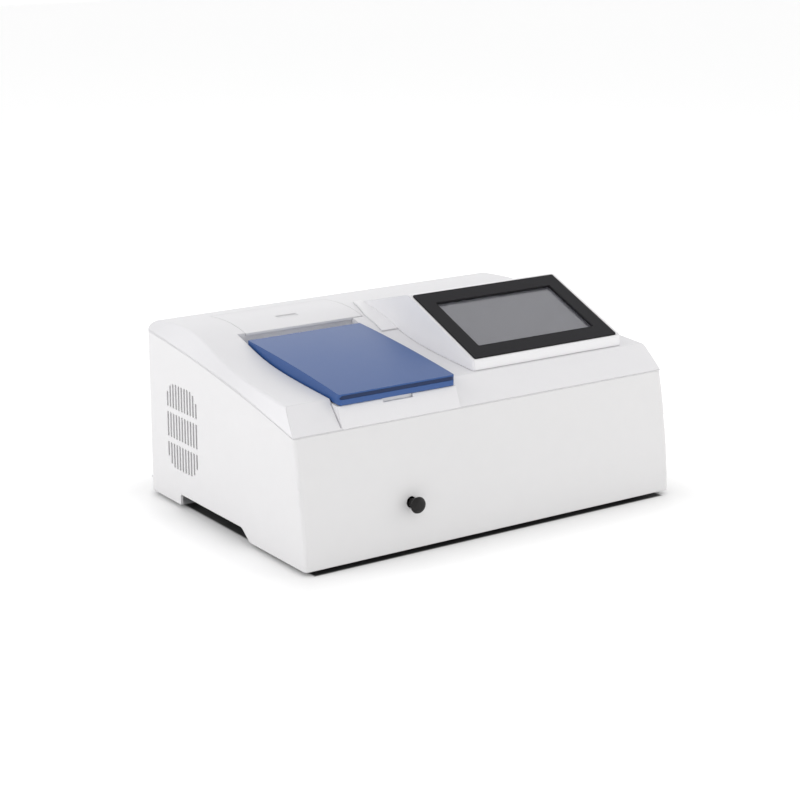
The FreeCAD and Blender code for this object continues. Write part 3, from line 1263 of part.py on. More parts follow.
def fan_rotor():
    y1 = PANEL_Y - PANEL_T - 1.0
    y0 = y1 - FAN_DEPTH + 3.8
    hub = rod_y(y0, y1, FAN_X, FAN_Z, 13.0)
    shaft = rod_y(y0 - 2.5, y0 + 1, FAN_X, FAN_Z, 1.5)
    parts = [hub, shaft]
    reach = FAN_SIZE / 2 - 3.2
    for i in range(FAN_BLADES):
        blade = along_z([(-4.5, y0 + 1), (-3.3, y0 + 0.6), (5.4, y1 - 0.8), (4.2, y1 - 0.4)], 11.5, reach)
        blade.rotate(V(0, 0, 0), V(0, 1, 0), 360.0 / FAN_BLADES * i)
        blade.translate(V(FAN_X, 0, FAN_Z))
        parts.append(blade)
    return join(parts)


def fan_guard():
    """Finger guard: three rings on two bars, flat against the outer face of the panel."""
    y = PANEL_Y + 1.2
    t = 0.8
    reach = FAN_SIZE / 2 + 1
    rings = []
    for r in (reach - 22, reach - 14, reach - 6):
        profile = [(r - t, -t), (r + t, -t), (r + t, t), (r - t, t)]
        rings.append(turned(profile, V(FAN_X, y, FAN_Z), V(0, 1, 0)))
    bars = [block(FAN_X - reach, FAN_X + reach, y - 1.2, y + 0.4, FAN_Z - t, FAN_Z + t),
            block(FAN_X - t, FAN_X + t, y - 1.2, y + 0.4, FAN_Z - reach, FAN_Z + reach)]
    return join(rings + bars)


# Writing the parts

def pieces():
    """Every node of the assembly with the function that builds it."""
    return {
        "lower_case": lower_case, "top_cover": top_cover, "rear_panel": rear_panel,
        "base_plate": base_plate, "rubber_feet": rubber_feet, "feet_screws": feet_screws,
        "case_screws": case_screws, "compartment_tub": compartment_tub,
        "compartment_gasket": compartment_gasket, "beam_windows": beam_windows,
        "carriage_rails": carriage_rails, "rod_bushing": rod_bushing, "click_spring": click_spring,
        "cell_carriage": cell_carriage, "cell_springs": cell_springs, "pull_rod": pull_rod,
        "pull_knob": pull_knob, "sample_lid": sample_lid, "lid_liner": lid_liner,
        "hinge_brackets": hinge_brackets, "hinge_pins": hinge_pins, "lid_bumpers": lid_bumpers,
        "service_cover": service_cover, "screen_housing": screen_housing, "screen_frame": screen_bezel,
        "screen_glass": screen_glass, "display_module": display_module, "display_board": display_board,
        "monochromator_housing": monochromator_housing, "monochromator_cover": monochromator_cover,
        "slit_plates": slit_plates, "concave_mirrors": concave_mirrors, "mirror_mounts": mirror_mounts,
        "grating_table": grating_table, "diffraction_grating": diffraction_grating,
        "drive_motor": drive_motor, "drive_plunger": drive_plunger, "filter_wheel": filter_wheel,
        "filter_shaft": filter_shaft, "optical_filters": optical_filters, "filter_motor": filter_motor,
        "lens_holder": lens_holder, "condenser_lens": condenser_lens, "lamp_bracket": lamp_bracket,
        "lamp_socket": lamp_socket, "tungsten_lamp": tungsten_lamp,
        "detector_housing": detector_housing, "photodiode": photodiode,
        "detector_board": detector_board, "main_board": main_board,
        "power_supply_board": power_supply_board, "power_inlet": power_inlet,
        "fuse_drawer": fuse_drawer, "power_switch": power_switch, "power_rocker": power_rocker,
        "data_sockets": data_sockets, "interface_board": interface_board, "fan_frame": fan_frame,
        "fan_rotor": fan_rotor, "fan_guard": fan_guard,
    }


def main():
    os.makedirs("parts", exist_ok=True)
    for name, make in pieces().items():
        shape = make()
        if isinstance(shape, list):
            shape = Part.Compound(shape)
        shape = shape.copy()
        shape.translate(ROW_SHIFT)
        solids = len(shape.Solids)
        print(name, "solids", solids, "valid", shape.isValid(), "volume", round(shape.Volume))
        shape.exportStep("parts/" + name + ".step")


if __name__ == "__main__":
    main()
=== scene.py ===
"""Looks of a bench visible spectrophotometer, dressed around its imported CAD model."""
import math

import bpy
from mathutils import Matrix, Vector


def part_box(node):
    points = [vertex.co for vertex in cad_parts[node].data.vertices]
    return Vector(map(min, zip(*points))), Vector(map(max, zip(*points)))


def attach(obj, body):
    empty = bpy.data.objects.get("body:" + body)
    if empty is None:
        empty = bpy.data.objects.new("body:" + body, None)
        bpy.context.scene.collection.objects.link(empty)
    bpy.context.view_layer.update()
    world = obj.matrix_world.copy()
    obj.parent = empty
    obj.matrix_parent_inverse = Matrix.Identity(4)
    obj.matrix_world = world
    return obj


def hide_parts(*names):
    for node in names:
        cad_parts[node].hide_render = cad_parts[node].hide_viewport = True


bl_info = {
    "name": "Spectrophotometer looks",
    "version": (1, 0, 0),
    "blender": (4, 5, 0),
    "location": "3D View > Sidebar > Spectro",
    "description": "Gives a bench spectrophotometer its finishes, light and camera",
    "category": "Object",
}

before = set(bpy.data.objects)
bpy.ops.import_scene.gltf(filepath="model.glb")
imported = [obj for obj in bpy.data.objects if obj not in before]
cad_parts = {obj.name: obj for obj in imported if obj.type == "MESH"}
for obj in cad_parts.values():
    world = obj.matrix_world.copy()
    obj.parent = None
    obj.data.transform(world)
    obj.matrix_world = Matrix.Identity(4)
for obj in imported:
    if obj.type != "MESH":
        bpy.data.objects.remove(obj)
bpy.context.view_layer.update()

# Sizes are in metres. These come from the frame.
CASE_LOW, CASE_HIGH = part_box("lower_case")
LID_LOW, LID_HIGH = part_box("sample_lid")
SERVICE_COVER_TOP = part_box("service_cover")[1][2]
REAR_Y = CASE_HIGH[1]
BASE_Z = CASE_LOW[2]
HALF_WIDTH = (CASE_HIGH[0] - CASE_LOW[0]) / 2

# The seam between case and cover: depth and height of three points on its curve, its gap, and the
# corners of the case in plan
SEAM_FRONT = (REAR_Y - 0.3083, BASE_Z + 0.1316)
SEAM_MIDDLE = (REAR_Y - 0.178, BASE_Z + 0.1583)
SEAM_REAR = (REAR_Y, BASE_Z + 0.181)
SEAM_GAP = 0.0009
BEAD_OVERLAP = 0.0001
FRONT_CORNER = 0.004
REAR_CORNER = 0.014
CORNER_STEPS = 8
SIDE_STEPS = 24

# The finger slot of the service cover, and the cup that closes it. A level of the cup is a share of the
# slot's length and a depth below the cover's top. The cup narrows by a part of what it loses in length.
SLOT_CENTRE = (-0.0995, REAR_Y - 0.075)
SLOT_SIZE = (0.026, 0.009)
CUP_LEVELS = ((1.0, 0.0011), (0.94, 0.0017), (0.80, 0.0021), (0.80, 0.0028), (1.0, 0.0028))
CUP_FLOOR_LEVEL = 2
CUP_UNDERSIDE_LEVEL = 3
CUP_NARROWING = 0.5

# The dark strip in the groove along the lid's front, which paints the shade in that groove. A corner of its
# section is a depth behind the front and a drop below the front's top edge.
LID_CORNER = 0.005
LID_FRONT_TOP = BASE_Z + 0.1652
STRIP_END = 0.0012
STRIP_STEPS = 6
STRIP_SECTION = ((0.0011, 0.0050), (0.0011, 0.0016), (0.0034, 0.0014), (0.0034, 0.0048))

# The touch glass: how near to its rear face a corner has to be to move with that face
GLASS_TOLERANCE = 0.00001

# Shares in the node groups: noise varies around its mean, tone follows the slow noise more than the
# mottled one, and patches of edge wear and painted edge highlight start above a threshold
NOISE_MEAN = 0.5
SLOW_SCALE = 7.0
MOTTLE_SCALE = 60.0
SLOW_SHARE = 1.4
LINE_TONE = 0.25
EDGE_GAIN = 5.0
PATCH_SCALE = 140.0
PATCH_THRESHOLD = 0.38
PATCH_GAIN = 4.0
GRAIN_DEPTH = 0.0002
LINE_DEPTH = 0.0001

# The camera as fitted to the photograph: focal length in pixels, place in metres, angles in degrees
IMAGE_SIZE = 800
FOCAL_PIXELS = 2061.67
SENSOR_WIDTH_MM = 36.0
CAMERA_PLACE = (-1.22877, -1.77566, 0.71550)
CAMERA_PITCH = 15.73
CAMERA_ROLL = -0.08
CAMERA_YAW = -34.33
FARTHEST_VIEW = 50.0

# The floor's own light rises from nothing at the case's outline to its full strength this far away, which
# paints a soft shadow around the case
GLOW_REACH = 0.09

# The dark contact shadow under the case: how far it passes the case's front, how far it stays inside the
# sides and the rear, how far it takes to fade, and its tone
SHADOW_PAST_FRONT = 0.003
SHADOW_INSIDE_SIDES = 0.008
SHADOW_INSIDE_REAR = 0.06
SHADOW_FADE = 0.004
SHADOW_TONE = (0.03, 0.03, 0.03, 1.0)

HORIZON_FALLOFF = 3.0

# Each lamp: name, place, the point that it faces, width and height, power in watts, colour
WHITE = (1.0, 1.0, 1.0)
LAMPS = (
    ("key_right", (1.7, -1.4, 0.9), (0.1, 0.0, 0.1), (1.0, 1.0), 6.0, (1.0, 0.985, 0.955)),
    ("front_high", (-0.2, -2.2, 2.4), (0.0, 0.0, 0.1), (1.2, 1.2), 5.0, (1.0, 0.99, 0.97)),
    ("fill_left", (-2.2, 0.3, 1.5), (0.0, 0.0, 0.1), (1.4, 1.4), 15.0, (0.985, 0.98, 1.0)),
    ("back_panel", (1.3, 1.9, 1.0), (0.0, 0.0, 0.15), (2.4, 0.8), 4.0, WHITE),
    ("top_rear", (0.0, 1.2, 2.2), (0.0, 0.0, 0.15), (2.2, 1.4), 3.0, WHITE),
    ("side_right", (2.2, 0.2, 1.2), (0.0, 0.0, 0.1), (1.4, 1.4), 4.0, WHITE),
)


# Node helpers

def link(tree, source, target):
    tree.links.new(source, target)


def node(tree, kind, **values):
    """A new node with the given properties set."""
    made = tree.nodes.new(kind)
    for key, value in values.items():
        setattr(made, key, value)
    return made


def fill(made, values):
    """Sets inputs of a node by their labels."""
    for label, value in values.items():
        made.inputs[label].default_value = value


def math_node(tree, operation, first, second=None):
    """Result of an operation on one or two values, each a number or a socket."""
    made = node(tree, "ShaderNodeMath", operation=operation)
    for place, value in enumerate((first, second)):
        if value is None:
            continue
        if isinstance(value, (int, float)):
            made.inputs[place].default_value = value
        else:
            link(tree, value, made.inputs[place])
    return made.outputs[0]


def smooth_rise(tree, value, low, high, top=1.0):
    """Rises smoothly from nothing at the low value to the top at the high one."""
    made = node(tree, "ShaderNodeMapRange", interpolation_type="SMOOTHSTEP")
    link(tree, value, made.inputs["Value"])
    fill(made, {"From Min": low, "From Max": high, "To Max": top})
    return made.outputs["Result"]


def noise(tree, coordinates, scale, detail=3.0, roughness=0.55):
    """Noise whose scale is a number or a socket."""
    made = node(tree, "ShaderNodeTexNoise")
    fill(made, {"Detail": detail, "Roughness": roughness})
    link(tree, coordinates, made.inputs["Vector"])
    if isinstance(scale, (int, float)):
        made.inputs["Scale"].default_value = scale
    else:
        link(tree, scale, made.inputs["Scale"])
    return made.outputs["Fac"]


def object_place(tree):
    return node(tree, "ShaderNodeTexCoord").outputs["Object"]


def new_group(name, inputs, outputs):
    """A node group with its named sockets, and the nodes for what it is given and what it puts out."""
    tree = bpy.data.node_groups.new(name, "ShaderNodeTree")
    for label, kind, value in inputs:
        socket = tree.interface.new_socket(label, in_out="INPUT", socket_type=kind)
        socket.default_value = value
    for label, kind in outputs:
        tree.interface.new_socket(label, in_out="OUTPUT", socket_type=kind)
    return tree, node(tree, "NodeGroupInput"), node(tree, "NodeGroupOutput")


def drifting_gloss(tree, given, result, drift):
    """Roughness that drifts around the given gloss."""
    change = math_node(tree, "MULTIPLY", drift, given.outputs["Gloss Drift"])
    gloss = math_node(tree, "ADD", given.outputs["Gloss"], change)
    link(tree, gloss, result.inputs["Roughness"])


def drifting_tone(tree, given, result, drift, amount):
    """The given colour, lighter and darker with the drift."""
    factor = math_node(tree, "ADD", 1.0, math_node(tree, "MULTIPLY", drift, amount))
    tint = node(tree, "ShaderNodeVectorMath", operation="SCALE")
    link(tree, given.outputs["Colour"], tint.inputs[0])
    link(tree, factor, tint.inputs["Scale"])
    link(tree, tint.outputs[0], result.inputs["Colour"])


def surface_grain_group():
    """Fine texture of a moulding or powder coat, with a slow drift in gloss and tone."""
    found = bpy.data.node_groups.get("surface_grain")
    if found:
        return found
    tree, given, result = new_group(
        "surface_grain",
        [("Grain Scale", "NodeSocketFloat", 1800.0),
         ("Gloss", "NodeSocketFloat", 0.5),
         ("Gloss Drift", "NodeSocketFloat", 0.08),
         ("Colour", "NodeSocketColor", (0.8, 0.8, 0.8, 1.0)),
         ("Tone Drift", "NodeSocketFloat", 0.03)],
        [("Height", "NodeSocketFloat"),
         ("Roughness", "NodeSocketFloat"),
         ("Colour", "NodeSocketColor")])
    place = object_place(tree)
    fine = noise(tree, place, given.outputs["Grain Scale"], detail=2.0)
    slow = noise(tree, place, SLOW_SCALE, detail=4.0)
    mottle = noise(tree, place, MOTTLE_SCALE)
    link(tree, fine, result.inputs["Height"])
    drift = math_node(tree, "SUBTRACT", slow, NOISE_MEAN)
    drifting_gloss(tree, given, result, drift)
    mixed = math_node(tree, "ADD",
                      math_node(tree, "MULTIPLY", drift, SLOW_SHARE),
                      math_node(tree, "SUBTRACT", mottle, NOISE_MEAN))
    drifting_tone(tree, given, result, mixed, given.outputs["Tone Drift"])
    return tree


def brushed_lines_group():
    """Fine lines along one direction, for ground, turned and drawn metal."""
    found = bpy.data.node_groups.get("brushed_lines")
    if found:
        return found
    tree, given, result = new_group(
        "brushed_lines",
        [("Stretch", "NodeSocketVector", (20.0, 900.0, 900.0)),
         ("Gloss", "NodeSocketFloat", 0.3),
         ("Gloss Drift", "NodeSocketFloat", 0.2),
         ("Colour", "NodeSocketColor", (0.6, 0.6, 0.62, 1.0))],
        [("Height", "NodeSocketFloat"),
         ("Roughness", "NodeSocketFloat"),
         ("Colour", "NodeSocketColor")])
    stretched = node(tree, "ShaderNodeVectorMath", operation="MULTIPLY")
    link(tree, object_place(tree), stretched.inputs[0])
    link(tree, given.outputs["Stretch"], stretched.inputs[1])
    lines = noise(tree, stretched.outputs[0], 1.0)
    link(tree, lines, result.inputs["Height"])
    drift = math_node(tree, "SUBTRACT", lines, NOISE_MEAN)
    drifting_gloss(tree, given, result, drift)
    drifting_tone(tree, given, result, drift, LINE_TONE)
    return tree


def edge_wear_and_highlight_group():
    """Rounds sharp edges in the shading, and marks them in patches for wear and a painted highlight along
    them.
    """
    found = bpy.data.node_groups.get("edge_wear_and_highlight")
    if found:
        return found
    tree, given, result = new_group(
        "edge_wear_and_highlight",
        [("Radius", "NodeSocketFloat", 0.0006), ("Wear_and_Highlight", "NodeSocketFloat", 0.5)],
        [("Normal", "NodeSocketVector"), ("Mask", "NodeSocketFloat")])
    rounded = node(tree, "ShaderNodeBevel", samples=4)
    link(tree, given.outputs["Radius"], rounded.inputs["Radius"])
    link(tree, rounded.outputs["Normal"], result.inputs["Normal"])
    agree = node(tree, "ShaderNodeVectorMath", operation="DOT_PRODUCT")
    link(tree, rounded.outputs["Normal"], agree.inputs[0])
    link(tree, node(tree, "ShaderNodeNewGeometry").outputs["Normal"], agree.inputs[1])
    turned = math_node(tree, "SUBTRACT", 1.0, agree.outputs["Value"])
    edge = math_node(tree, "MULTIPLY", turned, EDGE_GAIN)
    uneven = noise(tree, object_place(tree), PATCH_SCALE, detail=4.0, roughness=0.7)
    patches = math_node(tree, "MULTIPLY", math_node(tree, "SUBTRACT", uneven, PATCH_THRESHOLD), PATCH_GAIN)
    wear_and_highlight = math_node(tree, "MULTIPLY",
                     math_node(tree, "MINIMUM", edge, 1.0),
                     math_node(tree, "MAXIMUM", patches, 0.0))
    amount = math_node(tree, "MULTIPLY", math_node(tree, "MINIMUM", wear_and_highlight, 1.0), given.outputs["Wear_and_Highlight"])
    link(tree, amount, result.inputs["Mask"])
    return tree


# Finishes

def new_material(name):
    """A material with its tree and shader, or the one that has the name, with neither."""
    made = bpy.data.materials.get(name)
    if made:
        return made, None, None
    made = bpy.data.materials.new(name)
    made.use_nodes = True
    tree = made.node_tree
    tree.nodes.clear()
    shader = node(tree, "ShaderNodeBsdfPrincipled")
    out = node(tree, "ShaderNodeOutputMaterial")
    link(tree, shader.outputs[0], out.inputs["Surface"])
    return made, tree, shader


def bump(tree, shader, height, strength, distance, normal=None):
    """Raises the surface by a height, on the rounded normal where there is one."""
    made = node(tree, "ShaderNodeBump")
    fill(made, {"Strength": strength, "Distance": distance})
    link(tree, height, made.inputs["Height"])
    if normal:
        link(tree, normal, made.inputs["Normal"])
    link(tree, made.outputs["Normal"], shader.inputs["Normal"])


def blend_wear_and_highlight(tree, colour, wear_and_highlight_colour, radius, amount):
    """Blends a lighter tone along the edges, partly wear and partly a painted highlight, and gives the new
    colour and the rounded normal.
    """
    edge = node(tree, "ShaderNodeGroup", node_tree=edge_wear_and_highlight_group())
    fill(edge, {"Radius": radius, "Wear_and_Highlight": amount})
    blend = node(tree, "ShaderNodeMix", data_type="RGBA")
    link(tree, edge.outputs["Mask"], blend.inputs["Factor"])
    link(tree, colour, blend.inputs["A"])
    blend.inputs["B"].default_value = (*wear_and_highlight_colour, 1.0)
    return blend.outputs["Result"], edge.outputs["Normal"]


def grained(name, colour, gloss, grain_scale=1800.0, grain=0.15, tone=0.03, gloss_drift=0.08, metal=0.0,
            specular=0.5, wear_and_highlight=None, radius=0.0005, amount=0.35):
    """A moulded, rubber or coated surface, with wear and a painted highlight along its edges where a
    lighter tone for them is given.
    """
    made, tree, shader = new_material(name)
    if tree is None:
        return made
    group = node(tree, "ShaderNodeGroup", node_tree=surface_grain_group())
    fill(group, {"Grain Scale": grain_scale, "Gloss": gloss, "Gloss Drift": gloss_drift,
                 "Colour": (*colour, 1.0), "Tone Drift": tone})
    skin, rounded = group.outputs["Colour"], None
    # The lighter edge tone is partly wear and partly a painted highlight
    if wear_and_highlight:
        skin, rounded = blend_wear_and_highlight(tree, skin, wear_and_highlight, radius, amount)
    link(tree, skin, shader.inputs["Base Color"])
    link(tree, group.outputs["Roughness"], shader.inputs["Roughness"])
    bump(tree, shader, group.outputs["Height"], grain, GRAIN_DEPTH, rounded)
    fill(shader, {"Metallic": metal, "Specular IOR Level": specular})
    return made


def brushed(name, colour, gloss, stretch=(20.0, 900.0, 900.0), strength=0.12):
    """Bare metal with fine lines along one direction."""
    made, tree, shader = new_material(name)
    if tree is None:
        return made
    group = node(tree, "ShaderNodeGroup", node_tree=brushed_lines_group())
    fill(group, {"Stretch": stretch, "Gloss": gloss, "Colour": (*colour, 1.0)})
    link(tree, group.outputs["Colour"], shader.inputs["Base Color"])
    link(tree, group.outputs["Roughness"], shader.inputs["Roughness"])
    bump(tree, shader, group.outputs["Height"], strength, LINE_DEPTH)
    fill(shader, {"Metallic": 1.0})
    return made


def glass(name, colour, roughness=0.02):
    """Clear or tinted glass with a faint drift in its tone."""
    made, tree, shader = new_material(name)
    if tree is None:
        return made
    group = node(tree, "ShaderNodeGroup", node_tree=surface_grain_group())
    fill(group, {"Grain Scale": 30.0, "Gloss": roughness, "Gloss Drift": 0.02, "Colour": (*colour, 1.0)})
    link(tree, group.outputs["Colour"], shader.inputs["Base Color"])
    link(tree, group.outputs["Roughness"], shader.inputs["Roughness"])
    fill(shader, {"Transmission Weight": 1.0, "IOR": 1.5})
    return made


def board_green():
    """Solder mask of a circuit board."""
    return grained("board_green", (0.01, 0.12, 0.05), gloss=0.4, grain_scale=800.0, grain=0.3, tone=0.25)


def dress(material, *names):
    """Gives nodes of the frame a material."""
    for name in names:
        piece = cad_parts[name]
        piece.data.materials.clear()
        piece.data.materials.append(material)


# Shapes of the new pieces

def shape(name, points, faces, material, body):
    """A new piece from its corners and faces, riding on a body of the model."""
    mesh = bpy.data.meshes.new(name)
    mesh.from_pydata(points, [], faces)
    mesh.validate()
    mesh.materials.append(material)
    piece = bpy.data.objects.new(name, mesh)
    bpy.context.collection.objects.link(piece)
    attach(piece, body)
    return piece


def bar_faces(rings, corners, closed):
    """Faces of a bar whose cross-sections, each with the same number of corners, follow one another."""
    faces = []
    for ring in range(rings if closed else rings - 1):
        here, there = ring * corners, (ring + 1) % rings * corners
        for corner in range(corners):
            after = (corner + 1) % corners
            faces.append((here + corner, here + after, there + after, there + corner))
    if not closed:
        faces.append(tuple(range(corners - 1, -1, -1)))
        faces.append(tuple((rings - 1) * corners + corner for corner in range(corners)))
    return faces


def seam_height(y):
    """Height of the seam at a depth, on the circle through its front, middle and rear points."""
    (ay, az), (by, bz), (cy, cz) = SEAM_FRONT, SEAM_MIDDLE, SEAM_REAR
    twice = 2 * (ay * (bz - cz) + by * (cz - az) + cy * (az - bz))
    a, b, c = ay * ay + az * az, by * by + bz * bz, cy * cy + cz * cz
    centre_y = (a * (bz - cz) + b * (cz - az) + c * (az - bz)) / twice
    centre_z = (a * (cy - by) + b * (ay - cy) + c * (by - ay)) / twice
    radius = math.hypot(ay - centre_y, az - centre_z)
    side = 1.0 if az > centre_z else -1.0
    return centre_z + side * math.sqrt(radius * radius - (y - centre_y) ** 2)


def seam_path():
    """Plan of the case at the seam with the outward direction at each point, once around."""
    path = []
    corners = ((1, -1, FRONT_CORNER), (1, 1, REAR_CORNER), (-1, 1, REAR_CORNER), (-1, -1, FRONT_CORNER))
    side_start, side_end = SEAM_FRONT[0] + FRONT_CORNER, REAR_Y - REAR_CORNER
    side = [side_start + (side_end - side_start) * k / SIDE_STEPS for k in range(1, SIDE_STEPS)]
    for place, (sx, sy, radius) in enumerate(corners):
        x = sx * (HALF_WIDTH - radius)
        y = REAR_Y - radius if sy > 0 else SEAM_FRONT[0] + radius
        start = math.radians(-90 + 90 * place)
        for step in range(CORNER_STEPS + 1):
            angle = start + math.radians(90) * step / CORNER_STEPS
            out = (math.cos(angle), math.sin(angle))
            path.append((x + radius * out[0], y + radius * out[1], out))
        if place == 0:
            path += [(HALF_WIDTH, y, (1.0, 0.0)) for y in side]
        if place == 2:
            path += [(-HALF_WIDTH, y, (-1.0, 0.0)) for y in reversed(side)]
    return path


# Settings that a user would change

class SPECTRO_PG_case(bpy.types.PropertyGroup):
    body_colour: bpy.props.FloatVectorProperty(
        name="Case colour", description="Powder coat of the lower case",
        subtype="COLOR", size=3, default=(0.70, 0.695, 0.70), min=0.0, max=1.0)
    cover_colour: bpy.props.FloatVectorProperty(
        name="Cover colour", description="Moulded top cover and service cover",
        subtype="COLOR", size=3, default=(0.74, 0.735, 0.75), min=0.0, max=1.0)
    # The housing's tone is lighter than the cover's: partly its own tone, partly painted light on its
    # shaded sides
    housing_colour: bpy.props.FloatVectorProperty(
        name="Screen housing colour", description="Moulded housing of the screen",
        subtype="COLOR", size=3, default=(0.79, 0.785, 0.80), min=0.0, max=1.0)
    sheet_colour: bpy.props.FloatVectorProperty(
        name="Sheet colour", description="Coat of the rear panel and the lamp bracket",
        subtype="COLOR", size=3, default=(0.52, 0.53, 0.55), min=0.0, max=1.0)
    case_edge: bpy.props.FloatProperty(
        name="Case edge radius", description="Radius that the shading gives to sharp edges of the case",
        unit="LENGTH", default=0.0012, min=0.0, max=0.01, precision=4)
    cover_edge: bpy.props.FloatProperty(
        name="Cover edge radius", description="Radius that the shading gives to sharp edges of the covers",
        unit="LENGTH", default=0.0010, min=0.0, max=0.01, precision=4)
    bead_inset: bpy.props.FloatProperty(
        name="Bead inset", description="How far the seam's bead sits behind the case's outer wall",
        unit="LENGTH", default=0.0005, min=0.0, max=0.002, precision=4)
    bead_depth: bpy.props.FloatProperty(
        name="Bead depth", description="How deep the seam's bead is, from its outer face inward",
        unit="LENGTH", default=0.0012, min=0.0005, max=0.003, precision=4)


class SPECTRO_PG_lid(bpy.types.PropertyGroup):
    lid_colour: bpy.props.FloatVectorProperty(
        name="Lid colour", description="Blue moulding of the sample lid",
        subtype="COLOR", size=3, default=(0.032, 0.090, 0.272), min=0.0, max=1.0)
    lid_gloss: bpy.props.FloatProperty(
        name="Lid roughness", description="How matt the lid's surface is",
        subtype="FACTOR", default=0.36, min=0.0, max=1.0)
    lid_edge: bpy.props.FloatProperty(
        name="Lid edge radius", description="Radius that the shading gives to sharp edges of the lid",
        unit="LENGTH", default=0.0008, min=0.0, max=0.01, precision=4)


class SPECTRO_PG_screen(bpy.types.PropertyGroup):
    frame_colour: bpy.props.FloatVectorProperty(
        name="Frame colour", description="Black frame around the display",
        subtype="COLOR", size=3, default=(0.016, 0.0155, 0.018), min=0.0, max=1.0)
    display_colour: bpy.props.FloatVectorProperty(
        name="Display colour", description="Unlit display under its glass",
        subtype="COLOR", size=3, default=(0.292, 0.286, 0.311), min=0.0, max=1.0)
    glass_lift: bpy.props.FloatProperty(
        name="Glass lift", description="Gap between the display and the rear face of the touch glass",
        unit="LENGTH", default=0.00005, min=0.00001, max=0.0005, precision=5)


class SPECTRO_PG_stage(bpy.types.PropertyGroup):
    floor_size: bpy.props.FloatProperty(
        name="Floor size", description="Side of the square floor",
        unit="LENGTH", default=12.0, min=2.0, max=60.0)
    floor_colour: bpy.props.FloatVectorProperty(
        name="Floor colour", description="Pale floor around the object",
        subtype="COLOR", size=3, default=(0.96, 0.96, 0.96), min=0.0, max=1.0)
    floor_glow: bpy.props.FloatProperty(
        name="Floor glow", description="Light that the floor gives by itself",
        default=0.22, min=0.0, max=1.0)
    horizon_glow: bpy.props.FloatProperty(
        name="Horizon glow", description="Extra light low around the object",
        default=0.5, min=0.0, max=5.0)
    sky_strength: bpy.props.FloatProperty(
        name="Sky strength", description="Even light from all around",
        default=0.72, min=0.0, max=5.0)


# Pieces

class SPECTRO_OT_lower_case(bpy.types.Operator):
    """Coats the lower case, rear panel, base plate and lamp bracket, and finishes the feet and screws"""
    bl_idname = "spectro.lower_case"
    bl_label = "Lower case"

    def execute(self, context):
        settings = context.scene.spectro_case
        # The lighter tone along the edges is partly wear and partly a painted highlight
        powder = grained("case_powder_coat", settings.body_colour, gloss=0.46, grain_scale=2400.0,
                         grain=0.22, tone=0.025, specular=0.4, wear_and_highlight=(0.86, 0.86, 0.87),
                         radius=settings.case_edge)
        dress(powder, "lower_case")
        grey = grained("panel_grey_coat", settings.sheet_colour, gloss=0.48, grain_scale=2400.0, grain=0.14)
        dress(grey, "rear_panel", "lamp_bracket")
        dark = grained("base_dark_coat", (0.12, 0.12, 0.125), gloss=0.55, grain_scale=2000.0, grain=0.2,
                       tone=0.06, gloss_drift=0.1)
        dress(dark, "base_plate")
        rubber = grained("foot_rubber", (0.018, 0.018, 0.018), gloss=0.85, grain_scale=900.0, grain=0.4,
                         tone=0.12, gloss_drift=0.1)
        dress(rubber, "rubber_feet")
        dress(brushed("screw_steel", (0.55, 0.55, 0.57), gloss=0.32), "feet_screws", "case_screws")
        return {"FINISHED"}


class SPECTRO_OT_top_cover(bpy.types.Operator):
    """Finishes the grey covers and the screen housing, and adds the seam's bead and the slot's cup"""
    bl_idname = "spectro.top_cover"
    bl_label = "Top cover"

    def execute(self, context):
        settings = context.scene.spectro_case
        # The lighter tone along the edges is partly wear and partly a painted highlight
        cover = grained("cover_moulding", settings.cover_colour, gloss=0.48, grain_scale=2000.0, grain=0.20,
                        tone=0.025, specular=0.4, wear_and_highlight=(0.85, 0.85, 0.86), radius=settings.cover_edge)
        dress(cover, "top_cover", "service_cover")
        # The housing's lighter tone is partly painted light on its shaded sides
        # The lighter tone along the edges is partly wear and partly a painted highlight
        housing = grained("housing_moulding", settings.housing_colour, gloss=0.48, grain_scale=2000.0,
                          grain=0.20, tone=0.025, specular=0.4, wear_and_highlight=(0.88, 0.88, 0.89),
                          radius=settings.cover_edge)
        dress(housing, "screen_housing")
        self.seam_bead(cover, settings.bead_inset, settings.bead_depth)
        self.slot_cup(cover)
        return {"FINISHED"}

    def seam_bead(self, material, inset, thick):
        """Sealing bead in the seam between the lower case and the top cover."""
        reach = SEAM_GAP / 2 + BEAD_OVERLAP
        section = ((inset, -reach), (inset, reach), (inset + thick, reach), (inset + thick, -reach))
        path = seam_path()
        points = []
        for x, y, (out_x, out_y) in path:
            z = seam_height(y)
            points += [(x - depth * out_x, y - depth * out_y, z + rise) for depth, rise in section]
        piece = shape("seam_bead", points, bar_faces(len(path), len(section), True), material,
                      "instrument_case")

    def slot_cup(self, material):
        """Shallow cup that closes the finger slot of the service cover."""
        x, y = SLOT_CENTRE
        half, r = SLOT_SIZE[0] / 2, SLOT_SIZE[1] / 2
        cut = r / 3
        outline = [(half - cut, -r), (half, cut - r), (half, r - cut), (half - cut, r)]
        outline += [(-u, -v) for u, v in outline]
        points = []
        for share, depth in CUP_LEVELS:
            across = 1 - (1 - share) * half / r * CUP_NARROWING
            points += [(x + u * share, y + v * across, SERVICE_COVER_TOP - depth) for u, v in outline]
        count = len(outline)
        floor, underside = CUP_FLOOR_LEVEL * count, CUP_UNDERSIDE_LEVEL * count
        faces = bar_faces(len(CUP_LEVELS), count, True)
        # A floor and an underside take the place of the band between their two levels
        del faces[floor:underside]
        faces.append(tuple(floor + k for k in range(count)))
        faces.append(tuple(underside + k for k in reversed(range(count))))
        piece = shape("slot_cup", points, faces, material, "service_cover")


